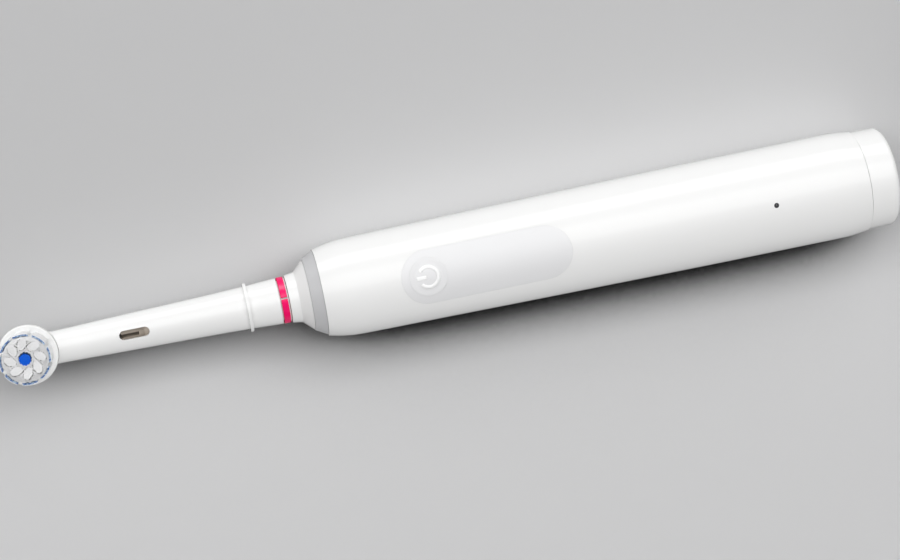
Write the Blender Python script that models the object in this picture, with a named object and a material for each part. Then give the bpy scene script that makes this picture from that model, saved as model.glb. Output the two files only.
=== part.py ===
"""Electric toothbrush with an oscillating round brush head, in metres, +Z up.

The brush lies on its back: +X runs from the head to the base, +Z is the front with the button.
Distances along the brush are measured from the base, and heights from the brush's centre line.
"""
import math

import bmesh
import bpy
from mathutils import Matrix, Vector
from mathutils.geometry import delaunay_2d_cdt

# Fits that every piece shares
SEAT_GAP = 0.0003
PRESS_GAP = 0.0001
RUNNING_GAP = 0.00015
CUT_OVERRUN = 0.001
MERGE_DISTANCE = 0.000002

# Handle shell
BODY_RADIUS = 0.01397
BACK_SWELL = 0.00033
CREST_RISE = 0.0003
SHELL_LENGTH = 0.1456
SHELL_WALL = 0.00297
MOUTH_STEP = 0.0023
SHELL_MOUTH_LENGTH = 0.0070
# Length share, half-width share, back depth share
SHELL_OUTLINE_SHARES = (
    (0.0, 0.966, 0.952),
    (0.030, 0.9964, 0.990),
    (0.058, 1.0, 1.0),
    (0.160, 0.9945, 1.0),
    (0.300, 0.9857, 1.0),
    (0.4835, 0.9656, 1.0),
    (0.6477, 0.9463, 1.0),
    (0.8029, 0.9256, 0.998),
    (0.9073, 0.9127, 0.985),
    (0.9519, 0.9020, 0.955),
    (0.9718, 0.8776, 0.915),
    (0.9856, 0.8497, 0.875),
    (1.0, 0.8130, 0.820),
)

# Base cap with the socket that drops over the charger's post
BASE_CAP_LENGTH = 0.0080
BASE_CAP_STEP = 0.000365
BASE_CAP_EDGE_RADIUS = 0.0018
SOCKET_RADIUS = 0.0050
SOCKET_DEPTH = 0.0140
SOCKET_WALL = 0.0012
CAP_FLOOR = 0.0020
SPIGOT_LENGTH = 0.0050
SPIGOT_WALL = 0.0012
SEAL_WIDTH = 0.0016
SEAL_GROOVE_DEPTH = 0.0005

# Charging coil
BOBBIN_WALL = 0.0006
COIL_LENGTH = 0.0070
COIL_THICKNESS = 0.0016

# Chassis and what it carries
CHASSIS_WALL = 0.0011
CHASSIS_RIM_HEIGHT = 0.0040
CHASSIS_END_GAP = 0.0006
CHASSIS_SOCKET_GAP = 0.0033
END_WALL = 0.0015
MIDDLE_WALL = 0.0040
ARCH_LENGTH = 0.0040
ARCH_THICKNESS = 0.0020
BATTERY_ROOM = 0.0050
BATTERY_BUTTON_RADIUS = 0.0028
TAB_THICKNESS = 0.0004
TAB_WIDTH = 0.0050
BOARD_HEADROOM = 0.0021
BOARD_THICKNESS = 0.0008
BOARD_EDGE_GAP = 0.00027
BOARD_FRONT_MARGIN = 0.0052
BOARD_END_MARGIN = 0.0025
SCREW_RADIUS = 0.0007
SCREW_HEAD_RADIUS = 0.0014
SCREW_HEAD_HEIGHT = 0.0010
SCREW_LENGTH = 0.0024

# Grip pad, power button and status light on the front
PAD_SETBACK = 0.0201
PAD_LENGTH = 0.0449
PAD_WIDTH = 0.0140
PAD_THICKNESS = 0.0007
BUTTON_RADIUS = 0.0050
BUTTON_TRAVEL = 0.0006
BUTTON_STEM_RADIUS = 0.0022
SWITCH_WIDTH = 0.0036
SWITCH_HEIGHT = 0.0008
SWITCH_PLUNGER_RADIUS = 0.0009
SWITCH_PLUNGER_HEIGHT = 0.0003
LENS_STATION = 0.0342
LENS_RADIUS = 0.00065
LED_LENGTH = 0.0016
LED_HEIGHT = 0.0006

# Ridged grip on the back, which the brush lies on
REAR_GRIP_START = 0.0450
REAR_GRIP_SETBACK = 0.0249
REAR_GRIP_WIDTH = 0.0150
REAR_GRIP_THICKNESS = 0.0008
RIDGE_RISE = 0.0007
RIDGE_COUNT = 12
GROOVE_WIDTH = 0.0030
CREST_HALF_WIDTH = 0.0026
CREST_EDGE_REACH = 0.0036
CREST_EDGE_RISE = 0.0009
END_CREST_STEP = 0.0001

# Light ring and neck collar
RING_LENGTH = 0.0028
RING_BACK_STEP = 0.00029
RING_LIP = 0.00091
COLLAR_CONE_LENGTH = 0.0027
COLLAR_LENGTH = 0.0021
COLLAR_BACK_RADIUS = 0.0066
COLLAR_FRONT_RADIUS = 0.0062
COLLAR_SPIGOT_WALL = 0.0012
NECK_SEAL_THICKNESS = 0.0009
NECK_SEAL_LENGTH = 0.0021
COLLAR_LIP = 0.0005

# Motor
MOTOR_GAP = 0.0008
MOTOR_ROOM = 0.0019
MOTOR_BOARD_GAP = 0.0009
MOTOR_LENGTH = 0.0225
MOTOR_CAP_LENGTH = 0.0024
MOTOR_SHAFT_RADIUS = 0.0007
MOTOR_SCREW_ROOM = 0.0005

# Gear stage, with spur teeth of one module
GEAR_MODULE = 0.0004
PINION_TEETH = 8
CRANK_GEAR_TEETH = 20
GEAR_BACKLASH = 0.0001
GEAR_DEDENDUM_SHARE = 1.25
# Share of the module above the pitch circle, share of the pitch from the tooth's middle
TOOTH_SHARES = ((-GEAR_DEDENDUM_SHARE, -0.36), (0.0, -0.225), (1.0, -0.10), (1.0, 0.10), (0.0, 0.225),
                (-GEAR_DEDENDUM_SHARE, 0.36))
GEAR_WIDTH = 0.0026
GEAR_AXLE_RADIUS = 0.0007
CRANK_GEAR_DROP = 0.0046
CRANK_RADIUS = 0.0012
CRANK_PIN_RADIUS = 0.0006

# Link and rocker arm
LINK_THICKNESS = 0.0012
LINK_EYE_RADIUS = 0.0015
ROCKER_RADIUS = 0.0042
ROCKER_THICKNESS = 0.0018
ROCKER_HUB_RADIUS = 0.0030

# Drive frame, its tilt pins and bearings
FRAME_ROOM = 0.0007
FRAME_BOARD_GAP = 0.0010
FRAME_PLATE = 0.0022
FRAME_BEARING_WALL = 0.0030
RAIL_THICKNESS = 0.0010
RAIL_HALF_HEIGHT = 0.0026
CORE_ROOM = 0.0022
CORE_STEP = 0.0010
CORE_LENGTH = 0.0064
CORE_TAPER_LENGTH = 0.0050
CORE_FRONT_LENGTH = 0.0260
STUB_RADIUS = 0.0034
STUB_REACH = 0.0133
STUB_SETBACK = 0.0029
TILT_PIN_RADIUS = 0.0010
TILT_BOSS_RADIUS = 0.0024
TILT_PIN_LENGTH = 0.0042
BEARING_WALL = 0.0009
FRONT_BEARING_LENGTH = 0.0030
REAR_BEARING_LENGTH = 0.0024
MAGNET_WIDTH = 0.0030
MAGNET_THICKNESS = 0.0014
SPRING_RADIUS = 0.0018
SPRING_WIRE_RADIUS = 0.0003
SPRING_TURNS = 3
SPRING_SETBACK = 0.0130
SPRING_POINTS_PER_TURN = 10
SPRING_WIRE_SIDES = 6

# Drive shaft
SHAFT_RADIUS = 0.00165
SHAFT_REACH = 0.0140
SHAFT_FLAT_DEPTH = 0.0005

# Brush head tube
HEAD_GAP = 0.0006
HEAD_SPIGOT_RADIUS = 0.0052
ID_RING_LENGTH = 0.0017
ID_RING_RADIUS = 0.00605
ID_RING_SPLIT = 0.0005
ID_RING_SPLIT_ANGLE = math.radians(12.0)
SKIRT_LENGTH = 0.0078
SKIRT_BACK_RADIUS = 0.0059
SKIRT_FRONT_RADIUS = 0.00525
FLANGE_THICKNESS = 0.0008
FLANGE_RADIUS = 0.0061
NECK_RADIUS = 0.00515
NECK_LENGTH = 0.0672
# Share of the way from the flange to the disc's centre, share of the neck's radius
NECK_OUTLINE_SHARES = ((0.0, 1.0), (0.195, 0.932), (0.357, 0.893), (0.622, 0.827), (0.788, 0.773),
                       (0.93, 0.745))
SLEEVE_RADIUS = 0.0043
COUPLER_RADIUS = 0.0031
COUPLER_LENGTH = 0.0270
COUPLER_NOSE_RADIUS = 0.0022
COUPLER_NOSE_LENGTH = 0.0045
NECK_BORE_RADIUS = 0.0026
ROD_SOCKET_DEPTH = 0.0080
WINDOW_LENGTH = 0.00805
WINDOW_WIDTH = 0.00245
WINDOW_SETBACK = 0.0274

# Head cup, pivot pin and crank rod
DISC_RADIUS = 0.0077
DISC_THICKNESS = 0.0022
DISC_RIM = 0.0006
DISC_RECESS = 0.0010
DISC_UNDERSIDE = 0.0022
CUP_RADIUS = 0.0069
CUP_DEPTH = 0.0048
CUP_WALL = 0.0010
CUP_FLOOR = 0.0011
# Radius share, depth share
CUP_OUTLINE_SHARES = ((0.0, 1.0), (0.66, 1.0), (0.87, 0.86), (0.97, 0.66), (1.0, 0.40))
HUB_RADIUS = 0.0038
PIVOT_PIN_RADIUS = 0.0008
ROD_RADIUS = 0.0007
ROD_CRANK = 0.0024
ROD_BEND_SHARES = (0.25, 0.5, 0.75)

# Bristles
SLICE_THICKNESS = 0.0006
STRAND_RADIUS = 0.00014
CENTRE_TUFT_RINGS = 4
CENTRE_TUFT_PITCH = 0.00036
CENTRE_SLICE_RADIUS = 0.0018
CENTRE_BRISTLE_LENGTH = 0.0066
PETAL_COUNT = 8
PETAL_LENGTH = 0.0032
PETAL_WIDTH = 0.0016
PETAL_ORBIT = 0.0036
PETAL_TURN = math.radians(-40.0)
PETAL_PITCH = 0.00046
PETAL_SLICE_RADIUS = 0.0053
PETAL_BRISTLE_LENGTH = 0.0072
OUTER_ORBIT = 0.0062
OUTER_TUFT_LENGTH = 0.0033
OUTER_ROW_COUNT = 2
OUTER_STRANDS_PER_ROW = 6
OUTER_ROW_PITCH = 0.00034
OUTER_BRISTLE_LENGTH = 0.0062

# Facet counts
BODY_FACETS = 36
ROUND_FACETS = 20
SMALL_FACETS = 12
BOSS_FACETS = 16
CUP_FACETS = 28
SMOOTH_ANGLE = math.radians(32.0)

# Radii inside the handle, worked out from its own
BACK_DEPTH = BODY_RADIUS + BACK_SWELL
AXIS_HEIGHT = BACK_DEPTH + CREST_RISE
SHELL_BORE_RADIUS = BODY_RADIUS - SHELL_WALL
SHELL_MOUTH_RADIUS = SHELL_BORE_RADIUS - MOUTH_STEP
BASE_CAP_RADIUS = SHELL_OUTLINE_SHARES[0][1] * BODY_RADIUS - BASE_CAP_STEP
COLLAR_SPIGOT_RADIUS = SHELL_MOUTH_RADIUS - SEAT_GAP
RING_BACK_RADIUS = SHELL_OUTLINE_SHARES[-1][1] * BODY_RADIUS - RING_BACK_STEP
RING_FRONT_RADIUS = COLLAR_SPIGOT_RADIUS + RING_LIP
CHASSIS_OUTER_RADIUS = SHELL_BORE_RADIUS - SEAT_GAP
CHASSIS_INNER_RADIUS = CHASSIS_OUTER_RADIUS - CHASSIS_WALL
BOARD_TOP = SHELL_BORE_RADIUS - BOARD_HEADROOM
BOARD_HEIGHT = BOARD_TOP - BOARD_THICKNESS
BOARD_HALF_WIDTH = math.sqrt((SHELL_BORE_RADIUS - BOARD_EDGE_GAP) ** 2 - BOARD_TOP ** 2)
BATTERY_RADIUS = CHASSIS_INNER_RADIUS - BATTERY_ROOM / 2
BATTERY_AXIS = BATTERY_RADIUS + SEAT_GAP - CHASSIS_INNER_RADIUS
GEAR_PITCH_RADIUS = GEAR_MODULE * CRANK_GEAR_TEETH / 2
PINION_PITCH_RADIUS = GEAR_MODULE * PINION_TEETH / 2
MOTOR_AXIS_HEIGHT = GEAR_PITCH_RADIUS + PINION_PITCH_RADIUS + GEAR_BACKLASH - CRANK_GEAR_DROP
MOTOR_RADIUS = CHASSIS_INNER_RADIUS - MOTOR_ROOM
MOTOR_HALF_HEIGHT = BOARD_HEIGHT - MOTOR_BOARD_GAP - MOTOR_AXIS_HEIGHT
MOTOR_SCREW_OFFSET = PINION_PITCH_RADIUS + GEAR_MODULE + SCREW_HEAD_RADIUS + MOTOR_SCREW_ROOM
FRAME_RADIUS = CHASSIS_INNER_RADIUS - FRAME_ROOM
FRAME_TOP = BOARD_HEIGHT - FRAME_BOARD_GAP
CORE_FRONT_RADIUS = COLLAR_SPIGOT_RADIUS - COLLAR_SPIGOT_WALL - CORE_ROOM
CORE_RADIUS = CORE_FRONT_RADIUS + CORE_STEP
TILT_PIN_INNER = CHASSIS_OUTER_RADIUS - PRESS_GAP - TILT_PIN_LENGTH

# Stations along the brush, worked out from the sizes above
SEAM = BASE_CAP_LENGTH
SHELL_START = SEAM + SEAT_GAP
SHELL_END = SHELL_START + SHELL_LENGTH
RING_START = SHELL_END + SEAT_GAP
RING_END = RING_START + RING_LENGTH
CONE_START = RING_END + SEAT_GAP
CONE_END = CONE_START + COLLAR_CONE_LENGTH
COLLAR_END = CONE_END + COLLAR_LENGTH
HEAD_START = COLLAR_END + HEAD_GAP
SKIRT_START = HEAD_START + ID_RING_LENGTH + SEAT_GAP
FLANGE_START = SKIRT_START + SKIRT_LENGTH
FLANGE_END = FLANGE_START + FLANGE_THICKNESS
DISC_CENTRE = HEAD_START + NECK_LENGTH
TOTAL_LENGTH = DISC_CENTRE + DISC_RADIUS
BASE_X = TOTAL_LENGTH / 2

SOCKET_END = SOCKET_DEPTH + SOCKET_WALL
CHASSIS_START = SOCKET_END + CHASSIS_SOCKET_GAP
CHASSIS_END = SHELL_END - SHELL_MOUTH_LENGTH - MOUTH_STEP - CHASSIS_END_GAP
PAD_START = SHELL_END - PAD_SETBACK - PAD_LENGTH
BUTTON_STATION = PAD_START + PAD_LENGTH - PAD_WIDTH / 2
REAR_GRIP_LENGTH = SHELL_END - REAR_GRIP_SETBACK - REAR_GRIP_START
REAR_TAB_START = CHASSIS_START + END_WALL + SEAT_GAP
BATTERY_START = REAR_TAB_START + TAB_THICKNESS + SEAT_GAP

STUB_END = HEAD_START + STUB_REACH
SHAFT_END = STUB_END + SHAFT_REACH
STUB_START = SHELL_END - STUB_SETBACK
CORE_FRONT_START = STUB_START - CORE_FRONT_LENGTH
CORE_END = CORE_FRONT_START - CORE_TAPER_LENGTH
BEARING_WALL_END = CORE_END - CORE_LENGTH
TILT_STATION = BEARING_WALL_END + CORE_LENGTH / 2
SPRING_STATION = CORE_FRONT_START + SPRING_SETBACK
BEARING_WALL_START = BEARING_WALL_END - FRAME_BEARING_WALL
ROCKER_END = BEARING_WALL_START - SEAT_GAP
ROCKER_START = ROCKER_END - ROCKER_THICKNESS
ROCKER_PIN_START = ROCKER_START - SEAT_GAP
LINK_END = ROCKER_PIN_START - SEAT_GAP
LINK_START = LINK_END - LINK_THICKNESS
GEAR_END = LINK_START - SEAT_GAP
GEAR_START = GEAR_END - GEAR_WIDTH
FRAME_PLATE_END = GEAR_START - SEAT_GAP
FRAME_START = FRAME_PLATE_END - FRAME_PLATE
MOTOR_END = FRAME_START - SEAT_GAP
MOTOR_START = MOTOR_END - MOTOR_LENGTH
MOTOR_CAP_START = MOTOR_START - SEAT_GAP - MOTOR_CAP_LENGTH
MIDDLE_WALL_END = MOTOR_CAP_START - MOTOR_GAP
MIDDLE_WALL_START = MIDDLE_WALL_END - MIDDLE_WALL
FRONT_TAB_START = MIDDLE_WALL_START - SEAT_GAP - TAB_THICKNESS
BATTERY_END = FRONT_TAB_START - SEAT_GAP

BOARD_START = CHASSIS_START + BOARD_END_MARGIN
BOARD_END = BUTTON_STATION + BOARD_FRONT_MARGIN
ARCH_STATION = BOARD_END - ARCH_LENGTH / 2
SHAFT_BORE_RADIUS = SHAFT_RADIUS + SEAT_GAP
BEARING_RADIUS = SHAFT_BORE_RADIUS + BEARING_WALL
DISC_TOP = DISC_UNDERSIDE + DISC_THICKNESS
SLICE_BOTTOM = DISC_TOP - DISC_RECESS + SEAT_GAP
SLICE_TOP = SLICE_BOTTOM + SLICE_THICKNESS
SLEEVE_BORE_RADIUS = STUB_RADIUS + SEAT_GAP
HEAD_BORE_RADIUS = SLEEVE_RADIUS + SEAT_GAP
CHANNEL_RADIUS = COUPLER_RADIUS + SEAT_GAP


def along(distance):
    """The X of a place that lies this far from the base."""
    return BASE_X - distance


def clear_scene():
    for old in list(bpy.data.objects):
        bpy.data.objects.remove(old, do_unlink=True)


def plastic(name, colour, roughness, metallic=0.0):
    """A plain material with a Principled shader."""
    made = bpy.data.materials.new(name)
    made.use_nodes = True
    shader = made.node_tree.nodes["Principled BSDF"]
    shader.inputs["Base Color"].default_value = (*colour, 1.0)
    shader.inputs["Roughness"].default_value = roughness
    shader.inputs["Metallic"].default_value = metallic
    made.diffuse_color = (*colour, 1.0)
    return made


class Body:
    """A group of pieces that move together, with an empty on the line that they move about."""

    def __init__(self, name, pivot, parent=None):
        self.pivot = Vector(pivot)
        self.empty = bpy.data.objects.new(name, None)
        bpy.context.scene.collection.objects.link(self.empty)
        if parent is None:
            self.empty.location = Vector((0.0, 0.0, AXIS_HEIGHT)) + self.pivot
        else:
            self.empty.parent = parent.empty
            self.empty.location = self.pivot - parent.pivot


def add_object(name, bm, body):
    """Turn a bmesh in the brush's own coordinates into an object that hangs on its body's empty."""
    bmesh.ops.recalc_face_normals(bm, faces=bm.faces)
    mesh = bpy.data.meshes.new(name)
    bm.to_mesh(mesh)
    bm.free()
    mesh.transform(Matrix.Translation(-body.pivot))
    made = bpy.data.objects.new(name, mesh)
    made.parent = body.empty
    bpy.context.scene.collection.objects.link(made)
    return made


def piece(name, bm, finish, body):
    made = add_object(name, bm, body)
    made.data.materials.append(finish)
    made.data.shade_smooth()
    made.data.set_sharp_from_angle(angle=SMOOTH_ANGLE)
    return made


def tool(name, bm, body):
    """A shape that only cuts or fills another."""
    made = add_object(name, bm, body)
    made.hide_render = True
    made.display_type = "WIRE"
    return made


def combine(target, other, operation, solver="EXACT"):
    step = target.modifiers.new(other.name, "BOOLEAN")
    step.object = other
    step.operation = operation
    step.solver = solver


def cut(target, *cutters, solver="EXACT"):
    for cutter in cutters:
        combine(target, cutter, "DIFFERENCE", solver)


def add(target, *others, solver="EXACT"):
    for other in others:
        combine(target, other, "UNION", solver)


def turned(outline, facets, centre=(0.0, 0.0)):
    """Turn a closed outline of (distance from the base, radius) points about a line along X."""
    bm = bmesh.new()
    points = [bm.verts.new((along(distance), 0.0, radius)) for distance, radius in outline]
    edges = []
    for here, there in zip(points, points[1:] + points[:1]):
        if here.co.z > MERGE_DISTANCE or there.co.z > MERGE_DISTANCE:
            edges.append(bm.edges.new((here, there)))
    bmesh.ops.spin(bm, geom=points + edges, cent=(0.0, 0.0, 0.0), axis=(1.0, 0.0, 0.0),
                   angle=math.tau, steps=facets, use_merge=True, use_duplicate=False)
    bmesh.ops.remove_doubles(bm, verts=bm.verts, dist=MERGE_DISTANCE)
    bmesh.ops.dissolve_degenerate(bm, dist=MERGE_DISTANCE, edges=bm.edges)
    bmesh.ops.translate(bm, verts=bm.verts, vec=(0.0, centre[0], centre[1]))
    return bm


def tube(start, end, outer, inner, facets, centre=(0.0, 0.0)):
    """A plain tube, or a rod where the inner radius is zero."""
    return turned([(start, inner), (start, outer), (end, outer), (end, inner)], facets, centre)


def upright(outline, facets, place):
    """Turn a closed outline of (radius, height) points about a vertical line at (x, y)."""
    bm = bmesh.new()
    points = [bm.verts.new((radius, 0.0, height)) for radius, height in outline]
    edges = []
    for here, there in zip(points, points[1:] + points[:1]):
        if here.co.x > MERGE_DISTANCE or there.co.x > MERGE_DISTANCE:
            edges.append(bm.edges.new((here, there)))
    bmesh.ops.spin(bm, geom=points + edges, cent=(0.0, 0.0, 0.0), axis=(0.0, 0.0, 1.0),
                   angle=math.tau, steps=facets, use_merge=True, use_duplicate=False)
    bmesh.ops.remove_doubles(bm, verts=bm.verts, dist=MERGE_DISTANCE)
    bmesh.ops.dissolve_degenerate(bm, dist=MERGE_DISTANCE, edges=bm.edges)
    bmesh.ops.translate(bm, verts=bm.verts, vec=(place[0], place[1], 0.0))
    return bm


def post(bottom, top, outer, inner, facets, place):
    return upright([(inner, bottom), (outer, bottom), (outer, top), (inner, top)], facets, place)


def crosswise(start, end, radius, facets, place):
    """A rod along Y, between two Y values, at (x, z)."""
    bm = post(start, end, radius, 0.0, facets, (0.0, 0.0))
    bmesh.ops.rotate(bm, verts=bm.verts, cent=(0.0, 0.0, 0.0),
                     matrix=Matrix.Rotation(-math.pi / 2, 3, "X"))
    bmesh.ops.translate(bm, verts=bm.verts, vec=(place[0], 0.0, place[1]))
    return bm


def box(start, end, side_from, side_to, bottom, top):
    """A block between two distances from the base, two sides and two heights."""
    bm = bmesh.new()
    bmesh.ops.create_cube(bm, size=1.0)
    size = (end - start, side_to - side_from, top - bottom)
    middle = (along((start + end) / 2), (side_from + side_to) / 2, (bottom + top) / 2)
    bmesh.ops.scale(bm, vec=size, verts=bm.verts)
    bmesh.ops.translate(bm, vec=middle, verts=bm.verts)
    return bm


def joined(*shapes):
    """Several separate shapes as one bmesh, for a cutter with several blades."""
    whole = bmesh.new()
    for shape in shapes:
        mesh = bpy.data.meshes.new("joined")
        shape.to_mesh(mesh)
        shape.free()
        whole.from_mesh(mesh)
        bpy.data.meshes.remove(mesh)
    return whole


def extruded(outline, start, end):
    """A flat outline of (y, z) points carried along the brush from one station to another."""
    bm = bmesh.new()
    face = bm.faces.new([bm.verts.new((along(start), y, z)) for y, z in outline])
    made = bmesh.ops.extrude_face_region(bm, geom=[face], use_keep_orig=True)
    moved = [item for item in made["geom"] if isinstance(item, bmesh.types.BMVert)]
    bmesh.ops.translate(bm, verts=moved, vec=(start - end, 0.0, 0.0))
    return bm


def pill(start, length, width, bottom, top, facets):
    """A vertical prism with round ends, lying along the brush."""
    radius = width / 2
    bm = bmesh.new()
    points = []
    for step in range(facets + 1):
        angle = math.pi * step / facets
        points.append((along(start + radius) + radius * math.sin(angle), radius * math.cos(angle)))
    for step in range(facets + 1):
        angle = math.pi * step / facets
        points.append((along(start + length - radius) - radius * math.sin(angle),
                       -radius * math.cos(angle)))
    face = bm.faces.new([bm.verts.new((x, y, bottom)) for x, y in points])
    made = bmesh.ops.extrude_face_region(bm, geom=[face], use_keep_orig=True)
    moved = [item for item in made["geom"] if isinstance(item, bmesh.types.BMVert)]
    bmesh.ops.translate(bm, verts=moved, vec=(0.0, 0.0, top - bottom))
    bmesh.ops.remove_doubles(bm, verts=bm.verts, dist=MERGE_DISTANCE)
    return bm


def body_ring(share, half_width, back_depth):
    """One cross-section of the handle: round at the front, an oval of its own depth at the back."""
    x = along(SHELL_START + share * SHELL_LENGTH)
    ring = []
    for step in range(BODY_FACETS):
        angle = math.tau * step / BODY_FACETS
        rise = half_width if math.cos(angle) > 0.0 else back_depth
        ring.append((x, half_width * math.sin(angle), rise * math.cos(angle)))
    return ring


def loft(rings, closed_ends):
    """Skin a row of rings of as many points each. Without end caps, the last meets the first."""
    bm = bmesh.new()
    loops = [[bm.verts.new(point) for point in ring] for ring in rings]
    pairs = list(zip(loops, loops[1:]))
    if not closed_ends:
        pairs.append((loops[-1], loops[0]))
    for here, there in pairs:
        for first in range(len(here)):
            second = (first + 1) % len(here)
            bm.faces.new((here[first], here[second], there[second], there[first]))
    if closed_ends:
        bm.faces.new(loops[0])
        bm.faces.new(list(reversed(loops[-1])))
    return bm


def handle_form(inset):
    """The handle's outer form, drawn in all over by an inset, or swollen by a negative one."""
    rings = []
    for share, width_share, depth_share in SHELL_OUTLINE_SHARES:
        rings.append(body_ring(share, width_share * BODY_RADIUS - inset,
                               depth_share * BACK_DEPTH - inset))
    return loft(rings, closed_ends=True)


def bore_ring(distance, radius):
    ring = []
    for step in range(BODY_FACETS):
        angle = math.tau * step / BODY_FACETS
        ring.append((along(distance), radius * math.sin(angle), radius * math.cos(angle)))
    return ring


def half_width_at(share):
    """The handle's half-width at a share of the shell's length, read off its outline."""
    for here, there in zip(SHELL_OUTLINE_SHARES, SHELL_OUTLINE_SHARES[1:]):
        if here[0] <= share <= there[0]:
            part = (share - here[0]) / (there[0] - here[0])
            return BODY_RADIUS * (here[1] + part * (there[1] - here[1]))
    return BODY_RADIUS * SHELL_OUTLINE_SHARES[-1][1]


def front_at(distance):
    """The height of the handle's front face above the centre line at a station."""
    return half_width_at((distance - SHELL_START) / SHELL_LENGTH)


def make_handle_shell(handle, white):
    """The moulded white tube, open at the base and narrowed to a mouth at the neck."""
    outside = []
    for share, width_share, depth_share in SHELL_OUTLINE_SHARES:
        outside.append(body_ring(share, width_share * BODY_RADIUS, depth_share * BACK_DEPTH))
    mouth_start = SHELL_END - SHELL_MOUTH_LENGTH
    shoulder = SHELL_BORE_RADIUS - SHELL_MOUTH_RADIUS
    inside = [bore_ring(SHELL_END, SHELL_MOUTH_RADIUS), bore_ring(mouth_start, SHELL_MOUTH_RADIUS),
              bore_ring(mouth_start - shoulder, SHELL_BORE_RADIUS),
              bore_ring(SHELL_START, SHELL_BORE_RADIUS)]
    shell = piece("handle_shell", loft(outside + inside, closed_ends=False), white, handle)
    depth = PAD_THICKNESS + SEAT_GAP
    front_recess = tool("pad_recess", pill(PAD_START - SEAT_GAP, PAD_LENGTH + 2 * SEAT_GAP,
                                           PAD_WIDTH + 2 * SEAT_GAP, 0.0, 2 * BODY_RADIUS,
                                           ROUND_FACETS // 2), handle)
    cut(front_recess, tool("pad_recess_floor", handle_form(depth), handle))
    rear_depth = REAR_GRIP_THICKNESS + SEAT_GAP
    rear_recess = tool("rear_recess", pill(REAR_GRIP_START - SEAT_GAP, REAR_GRIP_LENGTH + 2 * SEAT_GAP,
                                           REAR_GRIP_WIDTH + 2 * SEAT_GAP, -2 * BODY_RADIUS, 0.0,
                                           ROUND_FACETS // 2), handle)
    cut(rear_recess, tool("rear_recess_floor", handle_form(rear_depth), handle))
    button_hole = tool("button_hole", post(0.0, 2 * BODY_RADIUS, BUTTON_RADIUS + SEAT_GAP, 0.0,
                                           ROUND_FACETS, (along(BUTTON_STATION), 0.0)), handle)
    lens_hole = tool("lens_hole", post(0.0, 2 * BODY_RADIUS, LENS_RADIUS + SEAT_GAP, 0.0, SMALL_FACETS,
                                       (along(LENS_STATION), 0.0)), handle)
    cut(shell, front_recess, rear_recess, button_hole, lens_hole)


def make_grip_pad(handle, soft):
    """The pill-shaped soft pad that is let into the front, open round the button."""
    pad = piece("grip_pad", pill(PAD_START, PAD_LENGTH, PAD_WIDTH, 0.0, 2 * BODY_RADIUS,
                                 ROUND_FACETS // 2), soft, handle)
    combine(pad, tool("pad_top", handle_form(0.0), handle), "INTERSECT")
    cut(pad, tool("pad_floor", handle_form(PAD_THICKNESS), handle))
    cut(pad, tool("pad_hole", post(0.0, 2 * BODY_RADIUS, BUTTON_RADIUS + SEAT_GAP, 0.0, ROUND_FACETS,
                                   (along(BUTTON_STATION), 0.0)), handle))


def make_rear_grip(handle, soft):
    """The soft back grip. The brush lies on its ridges' flat crests, the two end ones a hair shorter."""
    grip = piece("rear_grip", pill(REAR_GRIP_START, REAR_GRIP_LENGTH, REAR_GRIP_WIDTH,
                                   -2 * BODY_RADIUS, 0.0, ROUND_FACETS // 2), soft, handle)
    combine(grip, tool("grip_form", handle_form(-RIDGE_RISE), handle), "INTERSECT")
    cut(grip, tool("grip_floor", handle_form(REAR_GRIP_THICKNESS), handle))
    rear_end = REAR_GRIP_START + REAR_GRIP_LENGTH
    cut(grip, tool("crest_plane", box(REAR_GRIP_START - CUT_OVERRUN, rear_end + CUT_OVERRUN, -BODY_RADIUS,
                                      BODY_RADIUS, -2 * AXIS_HEIGHT, -AXIS_HEIGHT), handle))
    dip = CREST_RISE * CREST_EDGE_REACH / CREST_EDGE_RISE
    edge_blades = []
    for side in (-1.0, 1.0):
        edge = [(side * (CREST_HALF_WIDTH - dip), -AXIS_HEIGHT - CREST_RISE),
                (side * (CREST_HALF_WIDTH + CREST_EDGE_REACH), -AXIS_HEIGHT + CREST_EDGE_RISE),
                (side * (CREST_HALF_WIDTH + CREST_EDGE_REACH), -AXIS_HEIGHT - CREST_RISE)]
        blade = extruded(edge, REAR_GRIP_START - CUT_OVERRUN, rear_end + CUT_OVERRUN)
        bmesh.ops.recalc_face_normals(blade, faces=blade.faces)
        edge_blades.append(blade)
    cut(grip, tool("crest_edges", joined(*edge_blades), handle))
    pitch = REAR_GRIP_LENGTH / RIDGE_COUNT
    end_blades = []
    for start, end in ((REAR_GRIP_START - CUT_OVERRUN, REAR_GRIP_START + pitch),
                       (rear_end - pitch, rear_end + CUT_OVERRUN)):
        end_blades.append(box(start, end, -BODY_RADIUS, BODY_RADIUS, -2 * AXIS_HEIGHT,
                              END_CREST_STEP - AXIS_HEIGHT))
    cut(grip, tool("end_crests", joined(*end_blades), handle))
    grooves = []
    for index in range(1, RIDGE_COUNT):
        middle = REAR_GRIP_START + index * pitch
        grooves.append(box(middle - GROOVE_WIDTH / 2, middle + GROOVE_WIDTH / 2, -BODY_RADIUS,
                           BODY_RADIUS, -2 * AXIS_HEIGHT, RIDGE_RISE - AXIS_HEIGHT))
    cut(grip, tool("grooves", joined(*grooves), handle))


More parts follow.
